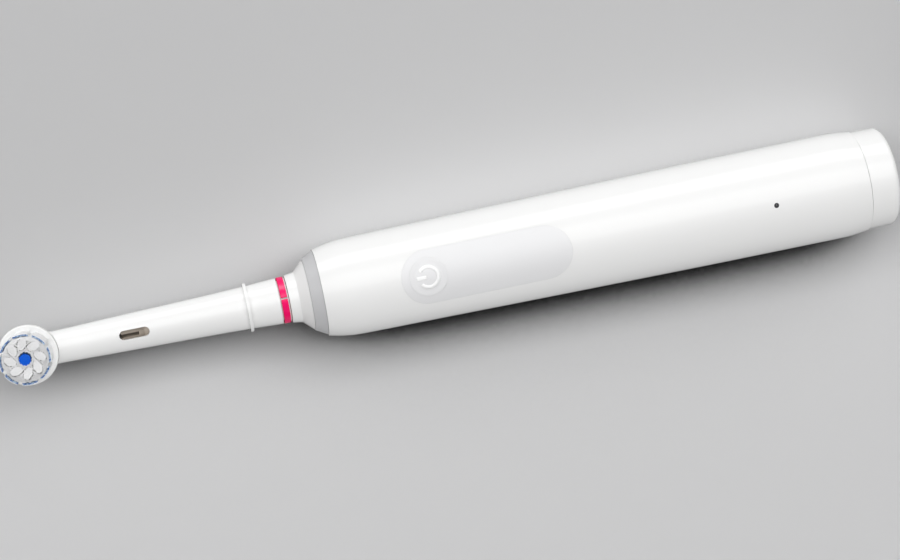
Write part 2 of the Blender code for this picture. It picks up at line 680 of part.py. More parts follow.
def make_power_button(button, white):
    """The round button: its crown follows the front face, and its stem reaches for the switch."""
    centre = (along(BUTTON_STATION), 0.0)
    front = front_at(BUTTON_STATION)
    flange_bottom = math.sqrt(front ** 2 - BUTTON_RADIUS ** 2) - PAD_THICKNESS
    stem_bottom = BOARD_TOP + SWITCH_HEIGHT + SWITCH_PLUNGER_HEIGHT + SEAT_GAP + BUTTON_TRAVEL
    outline = [(0.0, stem_bottom), (BUTTON_STEM_RADIUS, stem_bottom),
               (BUTTON_STEM_RADIUS, flange_bottom), (BUTTON_RADIUS, flange_bottom),
               (BUTTON_RADIUS, 2 * front), (0.0, 2 * front)]
    crown = piece("power_button", upright(outline, ROUND_FACETS, centre), white, button)
    combine(crown, tool("button_crown", handle_form(0.0), button), "INTERSECT")


def make_status_light(handle, clear, chip):
    """The light pipe over a small light on the board."""
    centre = (along(LENS_STATION), 0.0)
    bottom = BOARD_TOP + LED_HEIGHT + SEAT_GAP
    lens = piece("status_lens", post(bottom, 2 * BODY_RADIUS, LENS_RADIUS, 0.0, SMALL_FACETS, centre),
                 clear, handle)
    combine(lens, tool("lens_top", handle_form(0.0), handle), "INTERSECT")
    half = LED_LENGTH / 2
    piece("charge_light", box(LENS_STATION - half, LENS_STATION + half, -half / 2, half / 2, BOARD_TOP,
                              BOARD_TOP + LED_HEIGHT), chip, handle)


def make_base(handle, white, rubber, copper, nylon):
    """The cap that closes the base, its socket tube, seal and charging coil."""
    edge = []
    steps = SMALL_FACETS // 3
    for step in range(steps + 1):
        angle = math.pi / 2 * step / steps
        edge.append((BASE_CAP_EDGE_RADIUS * (1.0 - math.cos(angle)),
                     BASE_CAP_RADIUS - BASE_CAP_EDGE_RADIUS * (1.0 - math.sin(angle))))
    spigot_radius = SHELL_BORE_RADIUS - SEAT_GAP
    groove_start = SEAM + (SPIGOT_LENGTH - SEAL_WIDTH) / 2
    groove_end = groove_start + SEAL_WIDTH + SEAT_GAP
    groove_radius = spigot_radius - SEAL_GROOVE_DEPTH
    tube_radius = SOCKET_RADIUS + SOCKET_WALL
    inner_radius = spigot_radius - SPIGOT_WALL
    outline = [(0.0, SOCKET_RADIUS)] + edge
    outline += [(SEAM, BASE_CAP_RADIUS), (SEAM, spigot_radius), (groove_start, spigot_radius),
                (groove_start, groove_radius), (groove_end, groove_radius), (groove_end, spigot_radius),
                (SEAM + SPIGOT_LENGTH, spigot_radius), (SEAM + SPIGOT_LENGTH, inner_radius),
                (CAP_FLOOR, inner_radius), (CAP_FLOOR, tube_radius), (SOCKET_END, tube_radius),
                (SOCKET_END, 0.0), (SOCKET_DEPTH, 0.0), (SOCKET_DEPTH, SOCKET_RADIUS)]
    piece("base_cap", turned(outline, BODY_FACETS), white, handle)
    seal_inner = groove_radius + PRESS_GAP
    seal_start = groove_start + SEAT_GAP / 2
    piece("cap_seal", tube(seal_start, seal_start + SEAL_WIDTH, SHELL_BORE_RADIUS - PRESS_GAP,
                           seal_inner, BODY_FACETS), rubber, handle)
    bobbin_start = CAP_FLOOR + SEAT_GAP
    bobbin_end = SOCKET_END - SEAT_GAP
    bobbin_radius = tube_radius + SEAT_GAP
    core_radius = bobbin_radius + BOBBIN_WALL
    flange_radius = inner_radius - SEAT_GAP
    coil_middle = (bobbin_start + bobbin_end) / 2
    coil_start = coil_middle - COIL_LENGTH / 2
    coil_end = coil_middle + COIL_LENGTH / 2
    flange_from = coil_start - SEAT_GAP
    flange_to = coil_end + SEAT_GAP
    spool = [(bobbin_start, bobbin_radius), (bobbin_start, core_radius),
             (flange_from - BOBBIN_WALL, core_radius), (flange_from - BOBBIN_WALL, flange_radius),
             (flange_from, flange_radius), (flange_from, core_radius), (flange_to, core_radius),
             (flange_to, flange_radius), (flange_to + BOBBIN_WALL, flange_radius),
             (flange_to + BOBBIN_WALL, core_radius), (bobbin_end, core_radius),
             (bobbin_end, bobbin_radius)]
    piece("coil_bobbin", turned(spool, ROUND_FACETS), nylon, handle)
    coil_inner = core_radius + PRESS_GAP
    piece("charging_coil", tube(coil_start, coil_end, coil_inner + COIL_THICKNESS, coil_inner,
                                ROUND_FACETS), copper, handle)


def make_battery(handle, sleeve, nickel):
    """A cylindrical cell, and at each end a welded tab that rises to the board."""
    centre = (0.0, BATTERY_AXIS)
    piece("battery", tube(BATTERY_START, BATTERY_END, BATTERY_RADIUS, 0.0, ROUND_FACETS, centre),
          sleeve, handle)
    for name, start in (("battery_tab_rear", REAR_TAB_START), ("battery_tab_front", FRONT_TAB_START)):
        piece(name, box(start, start + TAB_THICKNESS, -TAB_WIDTH / 2, TAB_WIDTH / 2,
                        BATTERY_AXIS - BATTERY_BUTTON_RADIUS, BOARD_HEIGHT - SEAT_GAP), nickel, handle)


def trough_outline(outer, inner, rim):
    """A ring that is open at the top: round from one rim, under the centre line, to the other."""
    points = []
    for radius, forward in ((outer, True), (inner, False)):
        edge = math.acos(rim / radius)
        for step in range(BODY_FACETS // 2 + 1):
            angle = edge + (math.tau - 2 * edge) * step / (BODY_FACETS // 2)
            points.append((radius * math.sin(angle), radius * math.cos(angle)))
        if forward:
            outer_points = points
            points = []
    return outer_points + list(reversed(points))


def segment_outline(radius, top):
    """A disc with a flat top."""
    edge = math.acos(top / radius)
    points = []
    for step in range(BODY_FACETS // 2 + 1):
        angle = edge + (math.tau - 2 * edge) * step / (BODY_FACETS // 2)
        points.append((radius * math.sin(angle), radius * math.cos(angle)))
    return points


def make_chassis(handle, nylon):
    """The moulded trough that holds the cell and the drive, with walls and an arch under the board."""
    seat = BOARD_HEIGHT - SEAT_GAP
    outline = trough_outline(CHASSIS_OUTER_RADIUS, CHASSIS_INNER_RADIUS, CHASSIS_RIM_HEIGHT)
    chassis = piece("chassis", extruded(outline, CHASSIS_START, CHASSIS_END), nylon, handle)
    wall = segment_outline(CHASSIS_OUTER_RADIUS, seat)
    rear_wall = tool("rear_wall", extruded(wall, CHASSIS_START, CHASSIS_START + END_WALL), handle)
    middle_wall = tool("middle_wall", extruded(wall, MIDDLE_WALL_START, MIDDLE_WALL_END), handle)
    arch_start = ARCH_STATION - ARCH_LENGTH / 2
    arch_end = ARCH_STATION + ARCH_LENGTH / 2
    ears = tool("arch_ears", extruded(trough_outline(CHASSIS_OUTER_RADIUS, CHASSIS_INNER_RADIUS, seat),
                                      arch_start, arch_end), handle)
    beam_side = math.sqrt(CHASSIS_OUTER_RADIUS ** 2 - seat ** 2) - PRESS_GAP
    beam = tool("arch_beam", box(arch_start, arch_end, -beam_side, beam_side, seat - ARCH_THICKNESS,
                                 seat), handle)
    add(chassis, rear_wall, middle_wall, ears, beam)
    pin_hole = tool("tilt_pin_hole", crosswise(-2 * BODY_RADIUS, 2 * BODY_RADIUS,
                                               TILT_PIN_RADIUS + PRESS_GAP, SMALL_FACETS,
                                               (along(TILT_STATION), 0.0)), handle)
    cut(chassis, pin_hole)
    for name, station in (("rear_screw_hole", (MIDDLE_WALL_START + MIDDLE_WALL_END) / 2),
                          ("front_screw_hole", ARCH_STATION)):
        hole = post(seat - SCREW_LENGTH, seat + CUT_OVERRUN, SCREW_RADIUS + PRESS_GAP, 0.0,
                    SMALL_FACETS, (along(station), 0.0))
        cut(chassis, tool(name, hole, handle))


def make_board(handle, laminate, chip, steel):
    """The circuit board with its switch, held down by two screws."""
    board = piece("circuit_board", box(BOARD_START, BOARD_END, -BOARD_HALF_WIDTH,
                                       BOARD_HALF_WIDTH, BOARD_HEIGHT, BOARD_TOP), laminate, handle)
    head_top = BOARD_TOP + PRESS_GAP + SCREW_HEAD_HEIGHT
    tip = BOARD_HEIGHT - SEAT_GAP - SCREW_LENGTH + PRESS_GAP
    for name, station in (("board_screw_rear", (MIDDLE_WALL_START + MIDDLE_WALL_END) / 2),
                          ("board_screw_front", ARCH_STATION)):
        place = (along(station), 0.0)
        outline = [(0.0, tip), (SCREW_RADIUS, tip), (SCREW_RADIUS, BOARD_TOP + PRESS_GAP),
                   (SCREW_HEAD_RADIUS, BOARD_TOP + PRESS_GAP), (SCREW_HEAD_RADIUS, head_top),
                   (0.0, head_top)]
        piece(name, upright(outline, SMALL_FACETS, place), steel, handle)
        hole = post(BOARD_HEIGHT - CUT_OVERRUN, BOARD_TOP + CUT_OVERRUN, SCREW_RADIUS + PRESS_GAP, 0.0,
                    SMALL_FACETS, place)
        cut(board, tool(name + "_hole", hole, handle))
    half = SWITCH_WIDTH / 2
    switch = piece("button_switch", box(BUTTON_STATION - half, BUTTON_STATION + half, -half, half,
                                        BOARD_TOP, BOARD_TOP + SWITCH_HEIGHT), chip, handle)
    plunger_top = BOARD_TOP + SWITCH_HEIGHT + SWITCH_PLUNGER_HEIGHT
    add(switch, tool("switch_plunger", post(BOARD_TOP + SWITCH_HEIGHT / 2, plunger_top,
                                            SWITCH_PLUNGER_RADIUS, 0.0, SMALL_FACETS,
                                            (along(BUTTON_STATION), 0.0)), handle))


def make_tilt_carriers(handle, steel):
    """The two pins that the drive tilts on, and the spring that the brushing force works against."""
    for name, side in (("tilt_pin_left", 1.0), ("tilt_pin_right", -1.0)):
        ends = sorted((side * TILT_PIN_INNER, side * (CHASSIS_OUTER_RADIUS - PRESS_GAP)))
        pin = crosswise(ends[0], ends[1], TILT_PIN_RADIUS, SMALL_FACETS, (along(TILT_STATION), 0.0))
        piece(name, pin, steel, handle)
    bottom = SEAT_GAP + SPRING_WIRE_RADIUS - CHASSIS_INNER_RADIUS
    top = -CORE_FRONT_RADIUS - SPRING_WIRE_RADIUS - 2 * SEAT_GAP
    rings = []
    steps = SPRING_TURNS * SPRING_POINTS_PER_TURN
    for step in range(steps + 1):
        turn = math.tau * step / SPRING_POINTS_PER_TURN
        centre = Vector((along(SPRING_STATION) + SPRING_RADIUS * math.cos(turn),
                         SPRING_RADIUS * math.sin(turn), bottom + (top - bottom) * step / steps))
        outward = Vector((math.cos(turn), math.sin(turn), 0.0))
        upward = Vector((0.0, 0.0, 1.0))
        rings.append([centre + SPRING_WIRE_RADIUS * (outward * math.cos(part) + upward * math.sin(part))
                      for part in (math.tau * side / SPRING_WIRE_SIDES for side in range(SPRING_WIRE_SIDES))])
    piece("pressure_spring", loft(rings, closed_ends=True), steel, handle)
    rise = (top - bottom) / SPRING_TURNS
    print("pressure spring clearance between turns:", round(rise - 2 * SPRING_WIRE_RADIUS, 6))


def make_neck(handle, frosted, white, rubber):
    """The light ring and the collar that carries it, with a seal round the drive's stub."""
    spigot_start = SHELL_END - SHELL_MOUTH_LENGTH + SEAT_GAP
    ring_bore = COLLAR_SPIGOT_RADIUS + SEAT_GAP
    ring = [(RING_START, ring_bore), (RING_START, RING_BACK_RADIUS), (RING_END, RING_FRONT_RADIUS),
            (RING_END, ring_bore)]
    piece("light_ring", turned(ring, BODY_FACETS), frosted, handle)
    seal_radius = STUB_RADIUS + 2 * SEAT_GAP + NECK_SEAL_THICKNESS
    seat_radius = seal_radius + PRESS_GAP
    seal_start = COLLAR_END - COLLAR_LIP - SEAT_GAP - NECK_SEAL_LENGTH
    collar = [(spigot_start, COLLAR_SPIGOT_RADIUS - COLLAR_SPIGOT_WALL),
              (spigot_start, COLLAR_SPIGOT_RADIUS), (CONE_START, COLLAR_SPIGOT_RADIUS),
              (CONE_START, RING_FRONT_RADIUS - PRESS_GAP), (CONE_END, COLLAR_BACK_RADIUS),
              (COLLAR_END, COLLAR_FRONT_RADIUS), (COLLAR_END, seat_radius - SEAT_GAP),
              (COLLAR_END - COLLAR_LIP, seat_radius - SEAT_GAP), (COLLAR_END - COLLAR_LIP, seat_radius),
              (seal_start - SEAT_GAP, seat_radius), (CONE_START, COLLAR_SPIGOT_RADIUS - COLLAR_SPIGOT_WALL)]
    piece("neck_collar", turned(collar, BODY_FACETS), white, handle)
    piece("neck_seal", tube(seal_start, seal_start + NECK_SEAL_LENGTH, seal_radius,
                            seal_radius - NECK_SEAL_THICKNESS, ROUND_FACETS), rubber, handle)


def make_drive_frame(drive_unit, nylon):
    """The moulded frame between the motor and the stub that the brush head is pushed on to."""
    outline = [(BEARING_WALL_START, 0.0), (BEARING_WALL_START, FRAME_RADIUS),
               (BEARING_WALL_END, FRAME_RADIUS), (BEARING_WALL_END, CORE_RADIUS),
               (CORE_END, CORE_RADIUS), (CORE_FRONT_START, CORE_FRONT_RADIUS),
               (STUB_START, CORE_FRONT_RADIUS), (STUB_START, STUB_RADIUS), (STUB_END, STUB_RADIUS),
               (STUB_END, 0.0)]
    frame = piece("drive_frame", turned(outline, ROUND_FACETS), nylon, drive_unit)
    plate = tool("frame_plate", tube(FRAME_START, FRAME_PLATE_END, FRAME_RADIUS, 0.0, ROUND_FACETS),
                 drive_unit)
    rail_outer = math.sqrt(FRAME_RADIUS ** 2 - RAIL_HALF_HEIGHT ** 2) - SEAT_GAP
    rail_inner = rail_outer - RAIL_THICKNESS
    rail_start = FRAME_START + FRAME_PLATE / 2
    rail_end = BEARING_WALL_START + FRAME_BEARING_WALL / 2
    left_rail = tool("left_rail", box(rail_start, rail_end, rail_inner, rail_outer, -RAIL_HALF_HEIGHT,
                                      RAIL_HALF_HEIGHT), drive_unit)
    right_rail = tool("right_rail", box(rail_start, rail_end, -rail_outer, -rail_inner,
                                        -RAIL_HALF_HEIGHT, RAIL_HALF_HEIGHT), drive_unit)
    boss_end = CHASSIS_INNER_RADIUS - SEAT_GAP
    boss = tool("tilt_boss", crosswise(-boss_end, boss_end, TILT_BOSS_RADIUS, BOSS_FACETS,
                                       (along(TILT_STATION), 0.0)), drive_unit)
    add(frame, plate, left_rail, right_rail, boss)
    flat_top = tool("frame_flat_top", box(FRAME_START - CUT_OVERRUN, CORE_END, -2 * FRAME_RADIUS,
                                          2 * FRAME_RADIUS, FRAME_TOP, 2 * FRAME_TOP), drive_unit)
    shaft_bore = tool("shaft_bore", tube(BEARING_WALL_START - CUT_OVERRUN, STUB_END + CUT_OVERRUN,
                                         SHAFT_BORE_RADIUS, 0.0, ROUND_FACETS), drive_unit)
    rear_seat = tool("rear_bearing_seat", tube(BEARING_WALL_START - CUT_OVERRUN,
                                               BEARING_WALL_START + REAR_BEARING_LENGTH + PRESS_GAP,
                                               BEARING_RADIUS + PRESS_GAP, 0.0, ROUND_FACETS), drive_unit)
    front_seat = tool("front_bearing_seat", tube(STUB_END - FRONT_BEARING_LENGTH - PRESS_GAP,
                                                 STUB_END + CUT_OVERRUN, BEARING_RADIUS + PRESS_GAP,
                                                 0.0, ROUND_FACETS), drive_unit)
    motor_hole = tool("motor_boss_hole", tube(FRAME_START - CUT_OVERRUN, FRAME_PLATE_END + CUT_OVERRUN,
                                              PINION_PITCH_RADIUS + GEAR_MODULE, 0.0, SMALL_FACETS,
                                              (0.0, MOTOR_AXIS_HEIGHT)), drive_unit)
    axle_hole = tool("axle_hole", tube(FRAME_START + SEAT_GAP, FRAME_PLATE_END + CUT_OVERRUN,
                                       GEAR_AXLE_RADIUS + PRESS_GAP, 0.0, SMALL_FACETS,
                                       (0.0, -CRANK_GEAR_DROP)), drive_unit)
    cut(frame, flat_top, shaft_bore, rear_seat, front_seat, motor_hole, axle_hole)
    for name, side in (("left", 1.0), ("right", -1.0)):
        hole = tube(FRAME_START - CUT_OVERRUN, FRAME_PLATE_END + CUT_OVERRUN, SCREW_RADIUS + PRESS_GAP,
                    0.0, SMALL_FACETS, (side * MOTOR_SCREW_OFFSET, MOTOR_AXIS_HEIGHT))
        ends = sorted((side * (TILT_PIN_INNER - SEAT_GAP), side * (boss_end + CUT_OVERRUN)))
        bore = crosswise(ends[0], ends[1], TILT_PIN_RADIUS + RUNNING_GAP, SMALL_FACETS,
                         (along(TILT_STATION), 0.0))
        cut(frame, tool("motor_screw_hole_" + name, hole, drive_unit),
            tool("tilt_bore_" + name, bore, drive_unit))
    magnet_start = FRAME_START + FRAME_PLATE / 2 - MAGNET_THICKNESS / 2
    magnet_end = magnet_start + MAGNET_THICKNESS
    half = MAGNET_WIDTH / 2
    cut(frame, tool("magnet_pocket", box(magnet_start - PRESS_GAP, magnet_end + PRESS_GAP,
                                         -half - PRESS_GAP, half + PRESS_GAP,
                                         FRAME_TOP - MAGNET_WIDTH / 2 - PRESS_GAP, 2 * FRAME_TOP),
                    drive_unit))
    return magnet_start, magnet_end, half


def make_drive_fittings(drive_unit, places, steel, bronze, black):
    """The bearings, the gear's axle, the sensor magnet and the motor's screws."""
    magnet_start, magnet_end, half = places
    piece("sensor_magnet", box(magnet_start, magnet_end, -half, half, FRAME_TOP - half, FRAME_TOP),
          black, drive_unit)
    bearing_bore = SHAFT_RADIUS + RUNNING_GAP
    piece("rear_bearing", tube(BEARING_WALL_START, BEARING_WALL_START + REAR_BEARING_LENGTH,
                               BEARING_RADIUS, bearing_bore, ROUND_FACETS), bronze, drive_unit)
    piece("front_bearing", tube(STUB_END - FRONT_BEARING_LENGTH, STUB_END, BEARING_RADIUS, bearing_bore,
                                ROUND_FACETS), bronze, drive_unit)
    piece("gear_axle", tube(FRAME_START + 2 * SEAT_GAP, GEAR_START + GEAR_WIDTH / 2, GEAR_AXLE_RADIUS,
                            0.0, SMALL_FACETS, (0.0, -CRANK_GEAR_DROP)), steel, drive_unit)
    seat = FRAME_PLATE_END + PRESS_GAP
    tip = MOTOR_END - FRAME_PLATE / 2
    for name, side in (("motor_screw_left", 1.0), ("motor_screw_right", -1.0)):
        outline = [(tip, 0.0), (tip, SCREW_RADIUS), (seat, SCREW_RADIUS), (seat, SCREW_HEAD_RADIUS),
                   (seat + SCREW_HEAD_HEIGHT, SCREW_HEAD_RADIUS), (seat + SCREW_HEAD_HEIGHT, 0.0)]
        screw = turned(outline, SMALL_FACETS, (side * MOTOR_SCREW_OFFSET, MOTOR_AXIS_HEIGHT))
        piece(name, screw, steel, drive_unit)


def flattened_outline(radius, half_height, middle):
    """A round section with a flat above and below."""
    edge = math.acos(half_height / radius)
    steps = BODY_FACETS // 4
    points = []
    for first in (edge, math.pi + edge):
        for step in range(steps + 1):
            angle = first + (math.pi - 2 * edge) * step / steps
            points.append((radius * math.sin(angle), middle + radius * math.cos(angle)))
    return points


def make_motor(drive_unit, rotor, steel, nylon, brass):
    """The flattened motor can, its rear cap, its shaft and the pinion pressed on the shaft."""
    outline = flattened_outline(MOTOR_RADIUS, MOTOR_HALF_HEIGHT, MOTOR_AXIS_HEIGHT)
    can = piece("motor_can", extruded(outline, MOTOR_START, MOTOR_END), steel, drive_unit)
    piece("motor_cap", extruded(outline, MOTOR_CAP_START, MOTOR_CAP_START + MOTOR_CAP_LENGTH), nylon,
          drive_unit)
    shaft_start = MOTOR_END - FRAME_PLATE
    shaft_hole = tube(shaft_start - SEAT_GAP, MOTOR_END + CUT_OVERRUN, MOTOR_SHAFT_RADIUS + RUNNING_GAP,
                      0.0, SMALL_FACETS, (0.0, MOTOR_AXIS_HEIGHT))
    cut(can, tool("motor_shaft_hole", shaft_hole, drive_unit))
    for name, side in (("left", 1.0), ("right", -1.0)):
        hole = tube(MOTOR_END - FRAME_PLATE / 2 - SEAT_GAP, MOTOR_END + CUT_OVERRUN,
                    SCREW_RADIUS + PRESS_GAP, 0.0, SMALL_FACETS,
                    (side * MOTOR_SCREW_OFFSET, MOTOR_AXIS_HEIGHT))
        cut(can, tool("can_screw_hole_" + name, hole, drive_unit))
    piece("motor_shaft", tube(shaft_start, GEAR_END, MOTOR_SHAFT_RADIUS, 0.0, SMALL_FACETS,
                              (0.0, MOTOR_AXIS_HEIGHT)), steel, rotor)
    pinion = piece("pinion", extruded(gear_outline(PINION_TEETH, MOTOR_AXIS_HEIGHT, 0.5), GEAR_START,
                                      GEAR_END), brass, rotor)
    cut(pinion, tool("pinion_bore", tube(GEAR_START - CUT_OVERRUN, GEAR_END + CUT_OVERRUN,
                                         MOTOR_SHAFT_RADIUS + PRESS_GAP, 0.0, SMALL_FACETS,
                                         (0.0, MOTOR_AXIS_HEIGHT)), rotor))


def gear_outline(teeth, middle, phase):
    """A spur gear's outline with tapered teeth. A phase of 0 puts a tooth at the top, 0.5 a gap."""
    pitch_radius = GEAR_MODULE * teeth / 2
    pitch_angle = math.tau / teeth
    points = []
    for tooth in range(teeth):
        middle_angle = (tooth + phase) * pitch_angle
        for rise_share, width_share in TOOTH_SHARES:
            radius = pitch_radius + rise_share * GEAR_MODULE
            angle = middle_angle + width_share * pitch_angle
            points.append((radius * math.sin(angle), middle + radius * math.cos(angle)))
    return points


def capsule_outline(here, there, radius):
    """A flat bar of (y, z) points with a round end about each of two centres."""
    along_bar = (there - here).normalized()
    across = Vector((-along_bar.y, along_bar.x))
    points = []
    for centre, forward in ((there, 1.0), (here, -1.0)):
        for step in range(SMALL_FACETS // 2 + 1):
            angle = math.pi * step / (SMALL_FACETS // 2)
            spot = centre + radius * forward * (across * math.cos(angle) + along_bar * math.sin(angle))
            points.append((spot.x, spot.y))
    return points


def crank_places():
    """The gear's centre, the crank pin and the rocker's end, as (y, z), with the rocker mid-swing."""
    gear_centre = Vector((0.0, -CRANK_GEAR_DROP))
    rocker_end = Vector((-ROCKER_RADIUS, 0.0))
    toward_rocker = (rocker_end - gear_centre).normalized()
    crank_pin = gear_centre - CRANK_RADIUS * Vector((toward_rocker.y, -toward_rocker.x))
    return gear_centre, crank_pin, rocker_end


def make_crank_gear(gear, brass):
    """The large gear, blind at the front, where its crank pin stands."""
    gear_centre, crank_pin, _ = crank_places()
    blank = extruded(gear_outline(CRANK_GEAR_TEETH, gear_centre.y, 0.0), GEAR_START, GEAR_END)
    wheel = piece("crank_gear", blank, brass, gear)
    add(wheel, tool("crank_pin", tube(GEAR_END - GEAR_WIDTH / 4, LINK_END, CRANK_PIN_RADIUS, 0.0,
                                      SMALL_FACETS, (crank_pin.x, crank_pin.y)), gear))
    cut(wheel, tool("gear_bore", tube(GEAR_START - CUT_OVERRUN, GEAR_START + GEAR_WIDTH / 2 + SEAT_GAP,
                                      GEAR_AXLE_RADIUS + RUNNING_GAP, 0.0, SMALL_FACETS,
                                      (gear_centre.x, gear_centre.y)), gear))


def make_link(link, nylon):
    """The link from the crank pin to the rocker arm."""
    _, crank_pin, rocker_end = crank_places()
    bar = piece("link", extruded(capsule_outline(crank_pin, rocker_end, LINK_EYE_RADIUS), LINK_START,
                                 LINK_END), nylon, link)
    for name, centre in (("crank_eye", crank_pin), ("rocker_eye", rocker_end)):
        eye = tube(LINK_START - CUT_OVERRUN, LINK_END + CUT_OVERRUN, CRANK_PIN_RADIUS + SEAT_GAP, 0.0,
                   SMALL_FACETS, (centre.x, centre.y))
        cut(bar, tool(name, eye, link))


def make_drive_shaft(shaft, steel, nylon):
    """The shaft that swings the brush head, flat on one side at its tip, and its rocker arm."""
    _, _, rocker_end = crank_places()
    rod = piece("drive_shaft", tube(ROCKER_START, SHAFT_END, SHAFT_RADIUS, 0.0, ROUND_FACETS), steel,
                shaft)
    cut(rod, tool("shaft_flat", box(STUB_END, SHAFT_END + CUT_OVERRUN, -2 * SHAFT_RADIUS,
                                    2 * SHAFT_RADIUS, SHAFT_RADIUS - SHAFT_FLAT_DEPTH,
                                    2 * SHAFT_RADIUS), shaft))
    arm = piece("rocker_arm", tube(ROCKER_START, ROCKER_END, ROCKER_HUB_RADIUS, 0.0, ROUND_FACETS),
                nylon, shaft)
    bar = capsule_outline(Vector((0.0, 0.0)), rocker_end, LINK_EYE_RADIUS)
    pin = tube(ROCKER_PIN_START, ROCKER_START + ROCKER_THICKNESS / 2, CRANK_PIN_RADIUS, 0.0,
               SMALL_FACETS, (rocker_end.x, rocker_end.y))
    add(arm, tool("rocker_bar", extruded(bar, ROCKER_START, ROCKER_END), shaft),
        tool("rocker_pin", pin, shaft))
    cut(arm, tool("rocker_bore", tube(ROCKER_START - CUT_OVERRUN, ROCKER_END + CUT_OVERRUN,
                                      SHAFT_RADIUS + PRESS_GAP, 0.0, ROUND_FACETS), shaft))


def neck_end():
    return FLANGE_END + NECK_OUTLINE_SHARES[-1][0] * (DISC_CENTRE - FLANGE_END)


def make_head_tube(brush_head, white, rose, nylon, steel):
    """The brush head's tube: skirt, flange, tapered neck with its window, and the cup for the disc."""
    centre = (along(DISC_CENTRE), 0.0)
    outline = [(HEAD_START, 0.0), (HEAD_START, HEAD_SPIGOT_RADIUS), (SKIRT_START, HEAD_SPIGOT_RADIUS),
               (SKIRT_START, SKIRT_BACK_RADIUS), (FLANGE_START, SKIRT_FRONT_RADIUS),
               (FLANGE_START, FLANGE_RADIUS), (FLANGE_END, FLANGE_RADIUS)]
    for share, radius_share in NECK_OUTLINE_SHARES:
        outline.append((FLANGE_END + share * (DISC_CENTRE - FLANGE_END), radius_share * NECK_RADIUS))
    outline.append((neck_end(), 0.0))
    head = piece("head_tube", turned(outline, ROUND_FACETS), white, brush_head)
    cup_top = DISC_UNDERSIDE - SEAT_GAP
    cup_outline = [(CUP_RADIUS * width, -CUP_DEPTH * depth) for width, depth in CUP_OUTLINE_SHARES]
    cup_outline += [(CUP_RADIUS, DISC_TOP), (0.0, DISC_TOP)]
    channel_step = STUB_END + COUPLER_LENGTH + 2 * SEAT_GAP
    cavity_start = DISC_CENTRE - CUP_RADIUS + CUP_WALL + CUT_OVERRUN
    channel = [(HEAD_START - CUT_OVERRUN, 0.0), (HEAD_START - CUT_OVERRUN, HEAD_BORE_RADIUS),
               (STUB_END, HEAD_BORE_RADIUS), (STUB_END, CHANNEL_RADIUS), (channel_step, CHANNEL_RADIUS),
               (channel_step, NECK_BORE_RADIUS), (cavity_start, NECK_BORE_RADIUS), (cavity_start, 0.0)]
    floor = CUP_FLOOR - CUP_DEPTH
    cavity = post(floor, DISC_TOP + CUT_OVERRUN, CUP_RADIUS - CUP_WALL, 0.0, CUP_FACETS, centre)
    window_start = HEAD_START - SEAT_GAP + STUB_REACH + WINDOW_SETBACK - WINDOW_LENGTH / 2
    window = pill(window_start, WINDOW_LENGTH, WINDOW_WIDTH, 0.0, 2 * NECK_RADIUS, SMALL_FACETS // 2)
    pin_bottom = -CUP_DEPTH + SEAT_GAP
    pin_hole = post(pin_bottom - PRESS_GAP, floor + CUT_OVERRUN, PIVOT_PIN_RADIUS + PRESS_GAP, 0.0,
                    SMALL_FACETS, centre)
    disc_room = post(cup_top, 2 * DISC_TOP, DISC_RADIUS + SEAT_GAP, 0.0, CUP_FACETS, centre)
    add(head, tool("head_cup", upright(cup_outline, CUP_FACETS, centre), brush_head),
        solver="MANIFOLD")
    cut(head, tool("disc_room", disc_room, brush_head),
        tool("head_channel", turned(channel, ROUND_FACETS), brush_head),
        tool("head_cavity", cavity, brush_head), tool("neck_window", window, brush_head),
        tool("pivot_pin_hole", pin_hole, brush_head), solver="MANIFOLD")
    pin_top = DISC_TOP - DISC_RECESS - 2 * SEAT_GAP
    piece("head_pivot_pin", post(pin_bottom, pin_top, PIVOT_PIN_RADIUS, 0.0, SMALL_FACETS, centre),
          steel, brush_head)
    ring = piece("id_ring", tube(HEAD_START, HEAD_START + ID_RING_LENGTH, ID_RING_RADIUS,
                                 HEAD_SPIGOT_RADIUS + PRESS_GAP, ROUND_FACETS), rose, brush_head)
    split = box(HEAD_START - CUT_OVERRUN, HEAD_START + ID_RING_LENGTH + CUT_OVERRUN,
                -ID_RING_SPLIT / 2, ID_RING_SPLIT / 2, 0.0, 2 * ID_RING_RADIUS)
    bmesh.ops.rotate(split, verts=split.verts, cent=(0.0, 0.0, 0.0),
                     matrix=Matrix.Rotation(-ID_RING_SPLIT_ANGLE, 3, "X"))
    cut(ring, tool("ring_split", split, brush_head))
    piece("socket_sleeve", tube(HEAD_START + SEAT_GAP, STUB_END - SEAT_GAP, SLEEVE_RADIUS,
                                SLEEVE_BORE_RADIUS, ROUND_FACETS), nylon, brush_head)


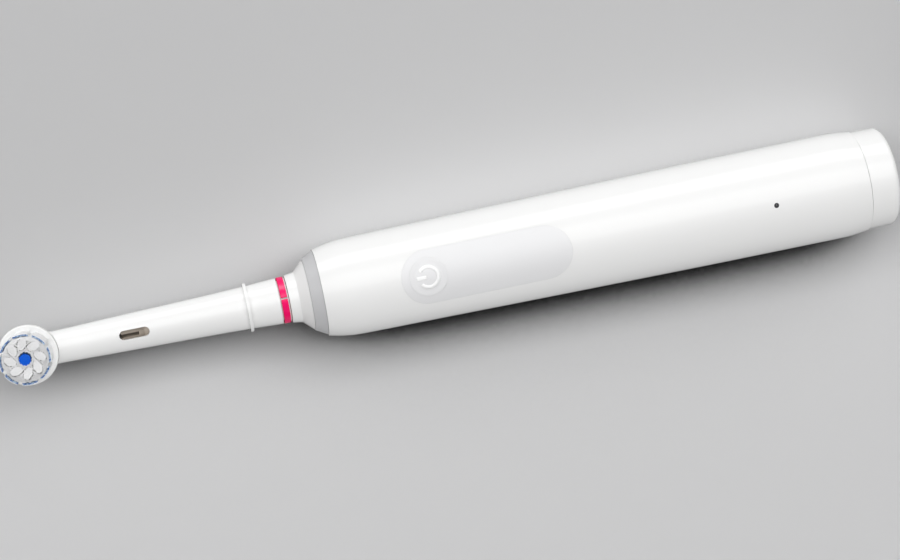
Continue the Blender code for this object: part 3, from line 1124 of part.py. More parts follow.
def make_coupler(coupler, beige, steel):
    """The coupler that the flat of the shaft turns, and the cranked rod that it carries."""
    start = STUB_END + SEAT_GAP
    end = STUB_END + COUPLER_LENGTH
    body = [(start, 0.0), (start, COUPLER_RADIUS), (end - COUPLER_NOSE_LENGTH, COUPLER_RADIUS),
            (end - COUPLER_NOSE_LENGTH, COUPLER_NOSE_RADIUS), (end, COUPLER_NOSE_RADIUS), (end, 0.0)]
    sleeve = piece("drive_coupler", turned(body, ROUND_FACETS), beige, coupler)
    shaft_hole = tool("coupler_bore", tube(start - CUT_OVERRUN, SHAFT_END + SEAT_GAP,
                                           SHAFT_RADIUS + SEAT_GAP, 0.0, ROUND_FACETS), coupler)
    cut(shaft_hole, tool("coupler_flat", box(start - 2 * CUT_OVERRUN, SHAFT_END + CUT_OVERRUN,
                                             -2 * SHAFT_RADIUS, 2 * SHAFT_RADIUS,
                                             SHAFT_RADIUS - SHAFT_FLAT_DEPTH + SEAT_GAP,
                                             2 * SHAFT_RADIUS), coupler))
    rod_hole = tool("rod_socket", tube(end - ROD_SOCKET_DEPTH, end + CUT_OVERRUN,
                                       ROD_RADIUS + PRESS_GAP, 0.0, SMALL_FACETS), coupler)
    cut(sleeve, shaft_hole, rod_hole)
    bend_start = DISC_CENTRE - CUP_RADIUS + CUP_WALL + ROD_RADIUS
    tip = DISC_CENTRE - PIVOT_PIN_RADIUS - CUP_WALL
    bend_end = DISC_CENTRE - HUB_RADIUS
    path = [(end - ROD_SOCKET_DEPTH + SEAT_GAP, 0.0), (bend_start, 0.0)]
    for share in ROD_BEND_SHARES:
        drop = ROD_CRANK * (1.0 - math.cos(math.pi * share)) / 2
        path.append((bend_start + share * (bend_end - bend_start), -drop))
    path += [(bend_end, -ROD_CRANK), (tip, -ROD_CRANK)]
    spots = [Vector((along(distance), 0.0, height)) for distance, height in path]
    rings = []
    for index, spot in enumerate(spots):
        before = spots[max(index - 1, 0)]
        after = spots[min(index + 1, len(spots) - 1)]
        forward = (after - before).normalized()
        sideways = Vector((0.0, 1.0, 0.0))
        upward = sideways.cross(forward)
        rings.append([spot + ROD_RADIUS * (sideways * math.cos(part) + upward * math.sin(part))
                      for part in (math.tau * step / SMALL_FACETS for step in range(SMALL_FACETS))])
    piece("crank_rod", loft(rings, closed_ends=True), steel, coupler)


def make_bristle_carrier(carrier, white):
    """The round disc that the tufts stand in, on a hub with a flared slot for the rod's end."""
    centre = (along(DISC_CENTRE), 0.0)
    hub_bottom = CUP_FLOOR - CUP_DEPTH + SEAT_GAP
    recess = DISC_TOP - DISC_RECESS
    edge = DISC_RIM / 2
    outline = [(0.0, hub_bottom), (HUB_RADIUS, hub_bottom), (HUB_RADIUS, DISC_UNDERSIDE),
               (DISC_RADIUS - edge, DISC_UNDERSIDE), (DISC_RADIUS, DISC_UNDERSIDE + edge),
               (DISC_RADIUS, DISC_TOP - edge), (DISC_RADIUS - edge, DISC_TOP),
               (DISC_RADIUS - DISC_RIM, DISC_TOP), (DISC_RADIUS - DISC_RIM, recess), (0.0, recess)]
    disc = piece("bristle_carrier", upright(outline, CUP_FACETS, centre), white, carrier)
    bore = post(hub_bottom - CUT_OVERRUN, recess - SEAT_GAP, PIVOT_PIN_RADIUS + RUNNING_GAP, 0.0,
                SMALL_FACETS, centre)
    inner = PIVOT_PIN_RADIUS + CUP_WALL - SEAT_GAP
    narrow = ROD_RADIUS + SEAT_GAP
    outer = HUB_RADIUS + CUT_OVERRUN
    wide = narrow + (outer - inner) * ROD_CRANK / HUB_RADIUS
    slot = bmesh.new()
    corners = [(inner, -narrow), (outer, -wide), (outer, wide), (inner, narrow)]
    face = slot.faces.new([slot.verts.new((centre[0] + x, y, hub_bottom - CUT_OVERRUN))
                           for x, y in corners])
    made = bmesh.ops.extrude_face_region(slot, geom=[face], use_keep_orig=True)
    moved = [item for item in made["geom"] if isinstance(item, bmesh.types.BMVert)]
    slot_top = ROD_RADIUS + 2 * SEAT_GAP - ROD_CRANK
    bmesh.ops.translate(slot, verts=moved, vec=(0.0, 0.0, slot_top - hub_bottom + CUT_OVERRUN))
    cut(disc, tool("carrier_bore", bore, carrier), tool("rod_slot", slot, carrier))


def circle_points(radius, facets):
    return [Vector((radius * math.cos(math.tau * step / facets),
                    radius * math.sin(math.tau * step / facets))) for step in range(facets)]


def bristle_slice(roots, inner, outer, length):
    """Strands of three sides, fused to a round slice of the carrier that may have a hole."""
    coords = circle_points(outer, CUP_FACETS)
    edges = [(index, (index + 1) % CUP_FACETS) for index in range(CUP_FACETS)]
    if inner > 0.0:
        coords += circle_points(inner, CUP_FACETS)
        edges += [(CUP_FACETS + here, CUP_FACETS + there) for here, there in edges]
    for root in roots:
        first = len(coords)
        for corner in range(3):
            angle = math.tau * corner / 3 + root.x / STRAND_RADIUS
            coords.append(root + STRAND_RADIUS * Vector((math.cos(angle), math.sin(angle))))
        edges += [(first, first + 1), (first + 1, first + 2), (first + 2, first)]
    spots, _, faces, _, _, _ = delaunay_2d_cdt(coords, edges, [], 1, MERGE_DISTANCE / 100)
    bm = bmesh.new()
    verts = [bm.verts.new((spot.x, spot.y, SLICE_TOP)) for spot in spots]
    strands = []
    for corners in faces:
        middle = sum((spots[corner] for corner in corners), Vector((0.0, 0.0))) / 3
        if middle.length < inner * math.cos(math.pi / CUP_FACETS):
            continue
        made = bm.faces.new([verts[corner] for corner in corners])
        if any((middle - root).length < STRAND_RADIUS / 4 for root in roots):
            strands.append(made)
    print("strands in a slice:", len(strands), "of", len(roots))
    rim = [edge for edge in bm.edges if edge.is_boundary]
    skirt = bmesh.ops.extrude_edge_only(bm, edges=rim)
    lowered = [item for item in skirt["geom"] if isinstance(item, bmesh.types.BMVert)]
    bmesh.ops.translate(bm, verts=lowered, vec=(0.0, 0.0, SLICE_BOTTOM - SLICE_TOP))
    bottom = [edge for edge in bm.edges if edge.is_boundary]
    if inner > 0.0:
        bmesh.ops.bridge_loops(bm, edges=bottom)
    else:
        bmesh.ops.contextual_create(bm, geom=bottom)
    tops = bmesh.ops.extrude_discrete_faces(bm, faces=strands)["faces"]
    bmesh.ops.translate(bm, verts=[vert for face in tops for vert in face.verts],
                        vec=(0.0, 0.0, length))
    bmesh.ops.delete(bm, geom=[vert for vert in bm.verts if not vert.link_faces], context="VERTS")
    bmesh.ops.translate(bm, verts=bm.verts, vec=(along(DISC_CENTRE), 0.0, 0.0))
    return bm


def centre_roots():
    """Rings of six, twelve and more round one strand."""
    roots = [Vector((0.0, 0.0))]
    for ring in range(1, CENTRE_TUFT_RINGS + 1):
        for index in range(6 * ring):
            angle = math.tau * index / (6 * ring)
            roots.append(ring * CENTRE_TUFT_PITCH * Vector((math.cos(angle), math.sin(angle))))
    return roots


def petal_roots():
    """Eight ovals of strands in rows, each turned aside from the line to the disc's centre."""
    rows = int(PETAL_WIDTH / PETAL_PITCH)
    roots = []
    for petal in range(PETAL_COUNT):
        angle = math.tau * petal / PETAL_COUNT
        middle = PETAL_ORBIT * Vector((math.cos(angle), math.sin(angle)))
        forward = Vector((math.cos(angle + PETAL_TURN), math.sin(angle + PETAL_TURN)))
        sideways = Vector((-forward.y, forward.x))
        for row in range(rows + 1):
            across = (row - rows / 2) * PETAL_PITCH
            reach = PETAL_LENGTH / 2 * math.sqrt(max(1.0 - (2 * across / PETAL_WIDTH) ** 2, 0.0))
            count = int(2 * reach / PETAL_PITCH)
            for index in range(count + 1):
                along_row = (index - count / 2) * PETAL_PITCH
                roots.append(middle + forward * along_row + sideways * across)
    return roots


def outer_roots():
    """Eight thin curved tufts near the rim."""
    roots = []
    for tuft in range(PETAL_COUNT):
        middle_angle = math.tau * tuft / PETAL_COUNT
        for row in range(OUTER_ROW_COUNT):
            orbit = OUTER_ORBIT + (row - (OUTER_ROW_COUNT - 1) / 2) * OUTER_ROW_PITCH
            for index in range(OUTER_STRANDS_PER_ROW):
                part = index / (OUTER_STRANDS_PER_ROW - 1) - 0.5
                angle = middle_angle + part * OUTER_TUFT_LENGTH / OUTER_ORBIT
                roots.append(orbit * Vector((math.cos(angle), math.sin(angle))))
    return roots


def make_bristles(carrier, blue, white):
    """The round blue tuft, the white petals about it and the thin blue tufts at the rim."""
    gap = SEAT_GAP
    piece("centre_tuft", bristle_slice(centre_roots(), 0.0, CENTRE_SLICE_RADIUS,
                                       CENTRE_BRISTLE_LENGTH), blue, carrier)
    piece("petal_tufts", bristle_slice(petal_roots(), CENTRE_SLICE_RADIUS + gap, PETAL_SLICE_RADIUS,
                                       PETAL_BRISTLE_LENGTH), white, carrier)
    piece("outer_tufts", bristle_slice(outer_roots(), PETAL_SLICE_RADIUS + gap,
                                       DISC_RADIUS - DISC_RIM - gap, OUTER_BRISTLE_LENGTH), blue, carrier)


def build():
    clear_scene()
    white = plastic("white_plastic", (0.86, 0.86, 0.85), 0.18)
    soft = plastic("soft_grip", (0.70, 0.70, 0.69), 0.55)
    frosted = plastic("frosted_plastic", (0.62, 0.62, 0.62), 0.30)
    clear = plastic("smoked_lens", (0.10, 0.10, 0.11), 0.15)
    rose = plastic("rose_plastic", (0.80, 0.02, 0.16), 0.30)
    beige = plastic("beige_plastic", (0.55, 0.47, 0.38), 0.45)
    nylon = plastic("grey_nylon", (0.45, 0.45, 0.46), 0.50)
    rubber = plastic("black_rubber", (0.03, 0.03, 0.03), 0.70)
    steel = plastic("steel", (0.62, 0.62, 0.62), 0.25, 1.0)
    brass = plastic("brass", (0.72, 0.55, 0.24), 0.30, 1.0)
    copper = plastic("copper_wire", (0.72, 0.38, 0.22), 0.35, 1.0)
    laminate = plastic("board_laminate", (0.02, 0.22, 0.10), 0.45)
    chip = plastic("black_epoxy", (0.05, 0.05, 0.05), 0.40)
    sleeve = plastic("cell_sleeve", (0.06, 0.20, 0.45), 0.35)
    blue = plastic("blue_nylon", (0.05, 0.25, 0.70), 0.40)
    bristle = plastic("white_nylon", (0.88, 0.88, 0.86), 0.40)

    _, crank_pin, _ = crank_places()
    handle = Body("handle_body", (0.0, 0.0, 0.0))
    button = Body("button_body", (along(BUTTON_STATION), 0.0, front_at(BUTTON_STATION)), handle)
    drive_unit = Body("drive_unit_body", (along(TILT_STATION), 0.0, 0.0), handle)
    rotor = Body("rotor_body", (along(GEAR_START), 0.0, MOTOR_AXIS_HEIGHT), drive_unit)
    gear = Body("gear_body", (along(GEAR_START), 0.0, -CRANK_GEAR_DROP), drive_unit)
    link = Body("link_body", (along(LINK_START), crank_pin.x, crank_pin.y), gear)
    shaft = Body("shaft_body", (along(ROCKER_START), 0.0, 0.0), drive_unit)
    brush_head = Body("brush_head_body", (along(HEAD_START), 0.0, 0.0), drive_unit)
    coupler = Body("coupler_body", (along(STUB_END), 0.0, 0.0), brush_head)
    carrier = Body("carrier_body", (along(DISC_CENTRE), 0.0, DISC_UNDERSIDE), brush_head)

    make_handle_shell(handle, white)
    make_grip_pad(handle, soft)
    make_rear_grip(handle, soft)
    make_power_button(button, soft)
    make_status_light(handle, clear, chip)
    make_base(handle, white, rubber, copper, nylon)
    make_chassis(handle, nylon)
    make_battery(handle, sleeve, steel)
    make_board(handle, laminate, chip, steel)
    make_tilt_carriers(handle, steel)
    make_neck(handle, frosted, white, rubber)
    places = make_drive_frame(drive_unit, nylon)
    make_drive_fittings(drive_unit, places, steel, brass, rubber)
    make_motor(drive_unit, rotor, steel, nylon, brass)
    make_crank_gear(gear, brass)
    make_link(link, nylon)
    make_drive_shaft(shaft, steel, nylon)
    make_head_tube(brush_head, white, rose, nylon, steel)
    make_coupler(coupler, beige, steel)
    make_bristle_carrier(carrier, white)
    make_bristles(carrier, blue, bristle)


build()
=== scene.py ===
import math

import bmesh
import bpy
from mathutils import Matrix, Vector, noise


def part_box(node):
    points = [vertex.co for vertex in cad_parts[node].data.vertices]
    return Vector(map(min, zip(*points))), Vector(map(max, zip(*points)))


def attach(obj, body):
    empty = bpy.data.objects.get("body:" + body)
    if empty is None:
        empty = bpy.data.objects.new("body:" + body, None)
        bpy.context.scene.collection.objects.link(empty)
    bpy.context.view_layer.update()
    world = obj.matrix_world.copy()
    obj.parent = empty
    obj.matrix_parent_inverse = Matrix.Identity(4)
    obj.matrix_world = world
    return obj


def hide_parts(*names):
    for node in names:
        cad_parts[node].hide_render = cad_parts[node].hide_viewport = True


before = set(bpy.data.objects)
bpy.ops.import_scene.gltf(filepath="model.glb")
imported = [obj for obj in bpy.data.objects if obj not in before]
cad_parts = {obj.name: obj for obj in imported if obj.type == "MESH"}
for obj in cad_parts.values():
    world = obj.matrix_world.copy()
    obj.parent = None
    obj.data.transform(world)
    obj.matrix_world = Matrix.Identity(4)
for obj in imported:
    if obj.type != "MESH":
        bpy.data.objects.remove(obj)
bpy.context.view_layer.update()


# Camera. The photograph looks down on the brush as it lies on its back, from a little towards its far
# side and its head. The brush runs off the left edge by the rim of its disc.
shell_low, shell_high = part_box("handle_shell")
axis_height = shell_high.z - (shell_high.y - shell_low.y) / 2
camera_lean = math.radians(8.5)
camera_swing = math.radians(7.1)
camera_roll = math.radians(11.76)
camera_distance = 0.651
aim_drop = 0.0037
aim_shift = 0.0012
camera_aim = Vector((-aim_shift, -aim_drop * math.cos(camera_lean),
                     axis_height + aim_drop * math.sin(camera_lean)))
camera_lens = 100.0
up_from_brush = Vector((0.0, math.sin(camera_lean), math.cos(camera_lean)))
across_brush = Vector((0.0, math.cos(camera_lean), -math.sin(camera_lean)))
brush_line = Vector((1.0, 0.0, 0.0))
looking = math.sin(camera_swing) * brush_line - math.cos(camera_swing) * up_from_brush
level = math.cos(camera_swing) * brush_line + math.sin(camera_swing) * up_from_brush
camera_right = math.cos(camera_roll) * level - math.sin(camera_roll) * across_brush
camera_up = math.sin(camera_roll) * level + math.cos(camera_roll) * across_brush
camera_data = bpy.data.cameras.new("camera")
camera_data.lens = camera_lens
camera_data.clip_start = camera_distance / 10
camera = bpy.data.objects.new("camera", camera_data)
turn = Matrix((camera_right, camera_up, -looking)).transposed().to_4x4()
camera.matrix_world = Matrix.Translation(camera_aim - camera_distance * looking) @ turn
bpy.context.scene.collection.objects.link(camera)
bpy.context.scene.camera = camera


# Handle shell. One white ABS tube from the injection mould, polished, with a shallow recess in front
# for the soft pad and one at the back for the grip. Its front is round and its back a little deeper.
shell_length = shell_high.x - shell_low.x
shell_radius = (shell_high.y - shell_low.y) / 2
shell_back = axis_height - shell_low.z
shell_wall = 0.0030
mouth_radius = 0.0087
mouth_length = 0.0070
shell_steps = 144
shell_stations = 110
pill_steps = 24
disc_outline_steps = 48
smooth_angle = math.radians(32.0)
edge_round = 0.00005
weld = 0.000001
# Length share from the base, half-width share, back depth share
shell_outline_shares = (
    (0.0, 0.966, 0.952),
    (0.030, 0.9964, 0.990),
    (0.058, 1.0, 1.0),
    (0.160, 0.9945, 1.0),
    (0.300, 0.9857, 1.0),
    (0.4835, 0.9656, 1.0),
    (0.6477, 0.9463, 1.0),
    (0.8029, 0.9256, 0.998),
    (0.9073, 0.9127, 0.985),
    (0.9519, 0.9020, 0.955),
    (0.9718, 0.8776, 0.915),
    (0.9856, 0.8497, 0.875),
    (1.0, 0.8130, 0.820),
)


def outline_share(share, column):
    """Read the outline between its rows, along a curve that passes through them."""
    rows = shell_outline_shares
    index = 0
    while index < len(rows) - 2 and rows[index + 1][0] < share:
        index += 1
    here, there = rows[index], rows[index + 1]
    before, after = rows[max(index - 1, 0)], rows[min(index + 2, len(rows) - 1)]
    span = there[0] - here[0]
    part = (share - here[0]) / span
    leaving = (there[column] - before[column]) / (there[0] - before[0]) * span
    arriving = (after[column] - here[column]) / (after[0] - here[0]) * span
    rise = 3 * part ** 2 - 2 * part ** 3
    return (here[column] * (1 - rise) + there[column] * rise
            + leaving * part * (1 - part) ** 2 - arriving * part ** 2 * (1 - part))


def shell_half_width(x):
    share = min(max((shell_high.x - x) / shell_length, 0.0), 1.0)
    return shell_radius * outline_share(share, 1)


def shell_depth(x):
    share = min(max((shell_high.x - x) / shell_length, 0.0), 1.0)
    return shell_back * outline_share(share, 2)


def front_height(x, y):
    """The height of the shell's front face over a place on the floor."""
    return axis_height + math.sqrt(shell_half_width(x) ** 2 - y ** 2)


def spun(places, line, away, steps, shift):
    """Spin a closed loop of places about a line through the origin, then shift the body into place.

    The coordinate numbered away is a place's distance from the line."""
    bm = bmesh.new()
    points = [bm.verts.new(place) for place in places]
    edges = [bm.edges.new(pair) for pair in zip(points, points[1:] + points[:1])
             if pair[0].co[away] > 0.0 or pair[1].co[away] > 0.0]
    bmesh.ops.spin(bm, geom=points + edges, cent=(0.0, 0.0, 0.0), axis=line, angle=math.tau, steps=steps,
                   use_merge=True, use_duplicate=False)
    bmesh.ops.remove_doubles(bm, verts=bm.verts, dist=weld)
    bmesh.ops.dissolve_degenerate(bm, dist=weld, edges=bm.edges)
    bmesh.ops.recalc_face_normals(bm, faces=bm.faces)
    bmesh.ops.translate(bm, verts=bm.verts, vec=shift)
    return bm


def turned(profile, steps):
    """Spin a closed profile of (x, radius) points about the brush's centre line."""
    return spun([(x, 0.0, radius) for x, radius in profile], (1.0, 0.0, 0.0), 2, steps,
                (0.0, 0.0, axis_height))


def deepened(bm, inset=0.0, beyond=0.0):
    """Give the back half of a turned body, outside a radius, the handle's own depth."""
    for vert in bm.verts:
        if vert.co.z < axis_height and math.hypot(vert.co.y, vert.co.z - axis_height) > beyond:
            share = (shell_depth(vert.co.x) - inset) / (shell_half_width(vert.co.x) - inset)
            vert.co.z = axis_height + (vert.co.z - axis_height) * share
    return bm


def shell_stations_between(start, end, inset):
    count = shell_stations
    return [(start + (end - start) * step / count,
             shell_half_width(start + (end - start) * step / count) - inset) for step in range(count + 1)]


def handle_form(inset):
    """The handle's outer form as a closed body, drawn in by an inset."""
    outside = shell_stations_between(shell_high.x, shell_low.x, inset)
    return deepened(turned([(shell_high.x, 0.0)] + outside + [(shell_low.x, 0.0)], shell_steps), inset)


def add_prism(bm, outline, bottom, top):
    """Raise a flat outline of (x, y) points into a prism."""
    face = bm.faces.new([bm.verts.new((x, y, bottom)) for x, y in outline])
    raised = bmesh.ops.extrude_face_region(bm, geom=[face], use_keep_orig=True)
    lifted = [item for item in raised["geom"] if isinstance(item, bmesh.types.BMVert)]
    bmesh.ops.translate(bm, verts=lifted, vec=(0.0, 0.0, top - bottom))
    bmesh.ops.recalc_face_normals(bm, faces=bm.faces)
    return bm


def prism(outline, bottom, top):
    return add_prism(bmesh.new(), outline, bottom, top)


def pill_outline(start, end, width, steps=pill_steps):
    """A bar along the brush with round ends, as (x, y) points."""
    radius = width / 2
    arc = [(radius * math.sin(math.pi * step / steps), radius * math.cos(math.pi * step / steps))
           for step in range(steps + 1)]
    return [(end - radius + x, y) for x, y in arc] + [(start + radius - x, -y) for x, y in arc]


def box_outline(start, end, low, high):
    return [(start, low), (end, low), (end, high), (start, high)]


def disc_outline(x, radius, steps=disc_outline_steps):
    return [(x + radius * math.cos(math.tau * step / steps), radius * math.sin(math.tau * step / steps))
            for step in range(steps)]


def quarter_turn(steps):
    return [math.pi / 2 * step / steps for step in range(steps + 1)]


def made_object(name, bm):
    mesh = bpy.data.meshes.new(name)
    bm.to_mesh(mesh)
    bm.free()
    made = bpy.data.objects.new(name, mesh)
    bpy.context.scene.collection.objects.link(made)
    return made


def carve(target, blade, operation="DIFFERENCE"):
    """Cut a piece with a bmesh and keep the result as its own mesh."""
    tool = made_object("blade", blade)
    step = target.modifiers.new("carve", "BOOLEAN")
    step.object = tool
    step.operation = operation
    step.solver = "EXACT"
    bpy.context.view_layer.update()
    graph = bpy.context.evaluated_depsgraph_get()
    carved = bpy.data.meshes.new_from_object(target.evaluated_get(graph))
    target.modifiers.clear()
    target.data = carved
    bpy.data.objects.remove(tool)


def finish_piece(made, material, body, round_edge=edge_round):
    """Smooth shading, softly rounded edges, a finish and a body to ride on."""
    made.data.materials.clear()
    made.data.materials.append(material)
    made.data.shade_smooth()
    made.data.set_sharp_from_angle(angle=smooth_angle)
    if round_edge > 0.0:
        rounding = made.modifiers.new("rounded edges", "BEVEL")
        rounding.width = round_edge
        rounding.segments = 2
        rounding.limit_method = "ANGLE"
        rounding.angle_limit = smooth_angle
        rounding.harden_normals = True
        rounding.use_clamp_overlap = True
    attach(made, body)
    return made


def set_inputs(tree, node, inputs):
    """Give each named input of a node a value, or another node's output."""
    for socket, value in inputs.items():
        if isinstance(value, bpy.types.NodeSocket):
            tree.links.new(value, node.inputs[socket])
        else:
            node.inputs[socket].default_value = value


def add_node(tree, kind, inputs, **settings):
    node = tree.nodes.new("ShaderNode" + kind)
    for setting, value in settings.items():
        setattr(node, setting, value)
    set_inputs(tree, node, inputs)
    return node


def add_noise(tree, place, scale, detail, roughness=0.5):
    """A noise texture on the piece's own coordinates, in metres."""
    return add_node(tree, "TexNoise", {"Vector": place, "Scale": scale, "Detail": detail,
                                       "Roughness": roughness}).outputs["Fac"]


def ranged(tree, value, low, high):
    """Spread a 0 to 1 value between a low and a high one."""
    return add_node(tree, "MapRange", {"Value": value, "To Min": low, "To Max": high}).outputs["Result"]


def eased(tree, value, low, high):
    """Turn a value into a mask that comes in softly between a low and a high one."""
    return add_node(tree, "MapRange", {"Value": value, "From Min": low, "From Max": high},
                    interpolation_type="SMOOTHSTEP").outputs["Result"]


def mixed(tree, mask, one, other):
    return add_node(tree, "Mix", {"Factor": mask, "A": one, "B": other}, data_type="RGBA").outputs["Result"]


def object_place(tree):
    return tree.nodes.new("ShaderNodeTexCoord").outputs["Object"]


def new_material(name, colour):
    material = bpy.data.materials.new(name)
    material.use_nodes = True
    material.diffuse_color = (*colour, 1.0)
    return material


def make_moulded_skin():
    """What a steel mould leaves on plastic: faint waves, a fine grain and places handled more."""
    group = bpy.data.node_groups.new("moulded skin", "ShaderNodeTree")
    face = group.interface
    face.new_socket("Colour", in_out="INPUT", socket_type="NodeSocketColor")
    for name, value in (("Unevenness", 0.01), ("Roughness", 0.2), ("Handling", 0.05), ("Grain Size", 900.0)):
        face.new_socket(name, in_out="INPUT", socket_type="NodeSocketFloat").default_value = value
    for name, kind in (("Colour", "Color"), ("Roughness", "Float"), ("Height", "Float")):
        face.new_socket(name, in_out="OUTPUT", socket_type="NodeSocket" + kind)
    given = group.nodes.new("NodeGroupInput").outputs
    out = group.nodes.new("NodeGroupOutput")
    place = object_place(group)
    clouds = add_noise(group, place, scale=60.0, detail=3.0)
    centred = add_node(group, "Math", {0: clouds, 1: 0.5}, operation="SUBTRACT")
    shade = add_node(group, "Math", {0: centred.outputs[0], 1: given["Unevenness"], 2: 1.0},
                     operation="MULTIPLY_ADD")
    tint = add_node(group, "VectorMath", {0: given["Colour"], "Scale": shade.outputs[0]}, operation="SCALE")
    touched = add_noise(group, place, scale=140.0, detail=4.0, roughness=0.6)
    handling = add_node(group, "Math", {0: touched, 1: given["Handling"], 2: given["Roughness"]},
                        operation="MULTIPLY_ADD")
    grain = add_noise(group, place, scale=given["Grain Size"], detail=2.0)
    set_inputs(group, out, {"Colour": tint.outputs[0], "Roughness": handling.outputs[0], "Height": grain})
    return group


moulded_skin = make_moulded_skin()


def skinned(name, colour, roughness, grain_size=900.0, grain_depth=0.000002, unevenness=0.012,
            handling=0.05, metallic=0.0):
    """A moulded finish: the shared skin feeds the shader's colour, roughness and bump."""
    material = new_material(name, colour)
    tree = material.node_tree
    skin = add_node(tree, "Group", {"Colour": (*colour, 1.0), "Roughness": roughness,
                                    "Grain Size": grain_size, "Unevenness": unevenness,
                                    "Handling": handling}, node_tree=moulded_skin).outputs
    bump = add_node(tree, "Bump", {"Strength": 1.0, "Distance": grain_depth, "Height": skin["Height"]})
    set_inputs(tree, tree.nodes["Principled BSDF"], {
        "Base Color": skin["Colour"], "Roughness": skin["Roughness"], "Normal": bump.outputs["Normal"],
        "Metallic": metallic})
    return material


def let_light_in(material, weight, reach):
    set_inputs(material.node_tree, material.node_tree.nodes["Principled BSDF"],
               {"Subsurface Weight": weight, "Subsurface Radius": reach})


white_gloss = skinned("white gloss plastic", (0.85, 0.85, 0.845), roughness=0.13, grain_size=260.0,
                      grain_depth=0.0000015, unevenness=0.01, handling=0.04)
white_gloss.node_tree.nodes["Principled BSDF"].inputs["Specular IOR Level"].default_value = 0.3
pad_low, pad_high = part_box("grip_pad")
grip_low, grip_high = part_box("rear_grip")
button_low, button_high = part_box("power_button")
lens_low, lens_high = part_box("status_lens")
pad_depth = 0.0010
grip_depth = 0.0011
fit = 0.00002
button_x = (button_low.x + button_high.x) / 2
button_radius = (button_high.y - button_low.y) / 2
lens_x = (lens_low.x + lens_high.x) / 2
lens_radius = (lens_high.y - lens_low.y) / 2

shell_profile = shell_stations_between(shell_high.x, shell_low.x, 0.0)
bore = shell_radius - shell_wall
shell_profile += [(shell_low.x, mouth_radius), (shell_low.x + mouth_length, mouth_radius),
                  (shell_low.x + mouth_length + bore - mouth_radius, bore), (shell_high.x, bore)]
shell = made_object("handle_shell_moulding", deepened(turned(shell_profile, shell_steps),
                                                      beyond=bore + shell_wall / 4))


def recess_blade(start, end, width, depth, front):
    """The space that a pill-shaped inlay takes in the handle's face."""
    bottom = axis_height if front else -axis_height
    blade = made_object("recess", prism(pill_outline(start - fit, end + fit, width + 2 * fit), bottom,
                                        bottom + 2 * axis_height))
    carve(blade, handle_form(depth))
    bm = bmesh.new()
    bm.from_mesh(blade.data)
    bpy.data.objects.remove(blade)
    return bm


carve(shell, recess_blade(pad_low.x, pad_high.x, pad_high.y - pad_low.y, pad_depth, True))
carve(shell, recess_blade(grip_low.x, grip_high.x, grip_high.y - grip_low.y, grip_depth, False))
carve(shell, prism(disc_outline(button_x, button_radius + 2 * fit), axis_height, 3 * axis_height))
carve(shell, prism(disc_outline(lens_x, lens_radius + fit), axis_height, 3 * axis_height))
finish_piece(shell, white_gloss, "handle")
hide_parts("handle_shell")


# Front pad and power button. A soft elastomer skin moulded in the recess, flush with the shell, with a
# matt, fine-grained face. The button is the same skin over a stiff disc, and presses in.
pad_thickness = 0.0007
soft_grain = skinned("soft grey elastomer", (0.785, 0.785, 0.793), roughness=0.46, grain_size=5200.0,
                     grain_depth=0.000008, unevenness=0.02, handling=0.08)
soft_round = 0.00004


def inlay(name, outline, thickness):
    """A flat outline raised through the handle's front, then cut to its curve and a thickness."""
    made = made_object(name, prism(outline, axis_height, 3 * axis_height))
    carve(made, handle_form(0.0), "INTERSECT")
    carve(made, handle_form(thickness))
    return made


pad = inlay("front_pad", pill_outline(pad_low.x, pad_high.x, pad_high.y - pad_low.y), pad_thickness)
carve(pad, prism(disc_outline(button_x, button_radius + fit), axis_height, 3 * axis_height))
finish_piece(pad, soft_grain, "handle", soft_round)
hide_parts("grip_pad")

dish_depth = 0.00022
dish_floor = 0.0034
dish_edge = 0.00495
button_thickness = 2 * pad_thickness
button_rings = 18
stem_radius = 0.0022
button_waist = 0.75 * button_radius
button_steps = 72


def dish_drop(radius):
    """How far the thumb's dish in the button lies under the handle's face."""
    part = min(max((dish_edge - radius) / (dish_edge - dish_floor), 0.0), 1.0)
    return dish_depth * part ** 2 * (3 - 2 * part)


def upright(profile, steps, x):
    """Spin a closed profile of (radius, height) points about an upright line."""
    return spun([(radius, 0.0, height) for radius, height in profile], (0.0, 0.0, 1.0), 0, steps,
                (x, 0.0, 0.0))


button_profile = [(button_radius * step / button_rings, -dish_drop(button_radius * step / button_rings))
                  for step in range(button_rings + 1)]
button_profile += [(radius, -button_thickness) for radius in (button_radius, button_waist, stem_radius)]
button_profile += [(radius, button_low.z - button_high.z) for radius in (stem_radius, 0.0)]
button_bm = upright(button_profile, button_steps, button_x)
for vert in button_bm.verts:
    if vert.co.z > -button_thickness - fit:
        vert.co.z += front_height(vert.co.x, vert.co.y)
    else:
        vert.co.z += button_high.z
button = made_object("power_button_cap", button_bm)
finish_piece(button, soft_grain, "button", soft_round)
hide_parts("power_button")


# Power mark. The usual ring open at the top with a bar in the opening, pad printed in white ink. It is a
# thin film that follows the button's dished face.
mark_radius = 0.0026
mark_stroke = 0.0010
mark_opening = math.radians(78.0)
bar_length = 0.0026
ink_depth = 0.00003
ink_rise = 0.00002
mark_columns = 72
bar_columns = 10
bar_rows = 4
white_ink = skinned("white printing ink", (0.95, 0.95, 0.95), roughness=0.35, grain_size=2600.0,
                    grain_depth=0.000003, unevenness=0.02, handling=0.05)


def laid_on_front(name, bm, x, rise):
    """Drop a flat sheet, drawn about the origin, on the handle's front face and give it a thickness."""
    for vert in bm.verts:
        place = vert.co.copy()
        vert.co = Vector((x + place.x, place.y, front_height(x + place.x, place.y) + rise))
    bmesh.ops.recalc_face_normals(bm, faces=bm.faces)
    for face in bm.faces:
        if face.normal.z < 0.0:
            face.normal_flip()
    made = made_object(name, bm)
    film = made.modifiers.new("film", "SOLIDIFY")
    film.thickness = ink_depth + ink_rise
    film.offset = -1.0
    return made


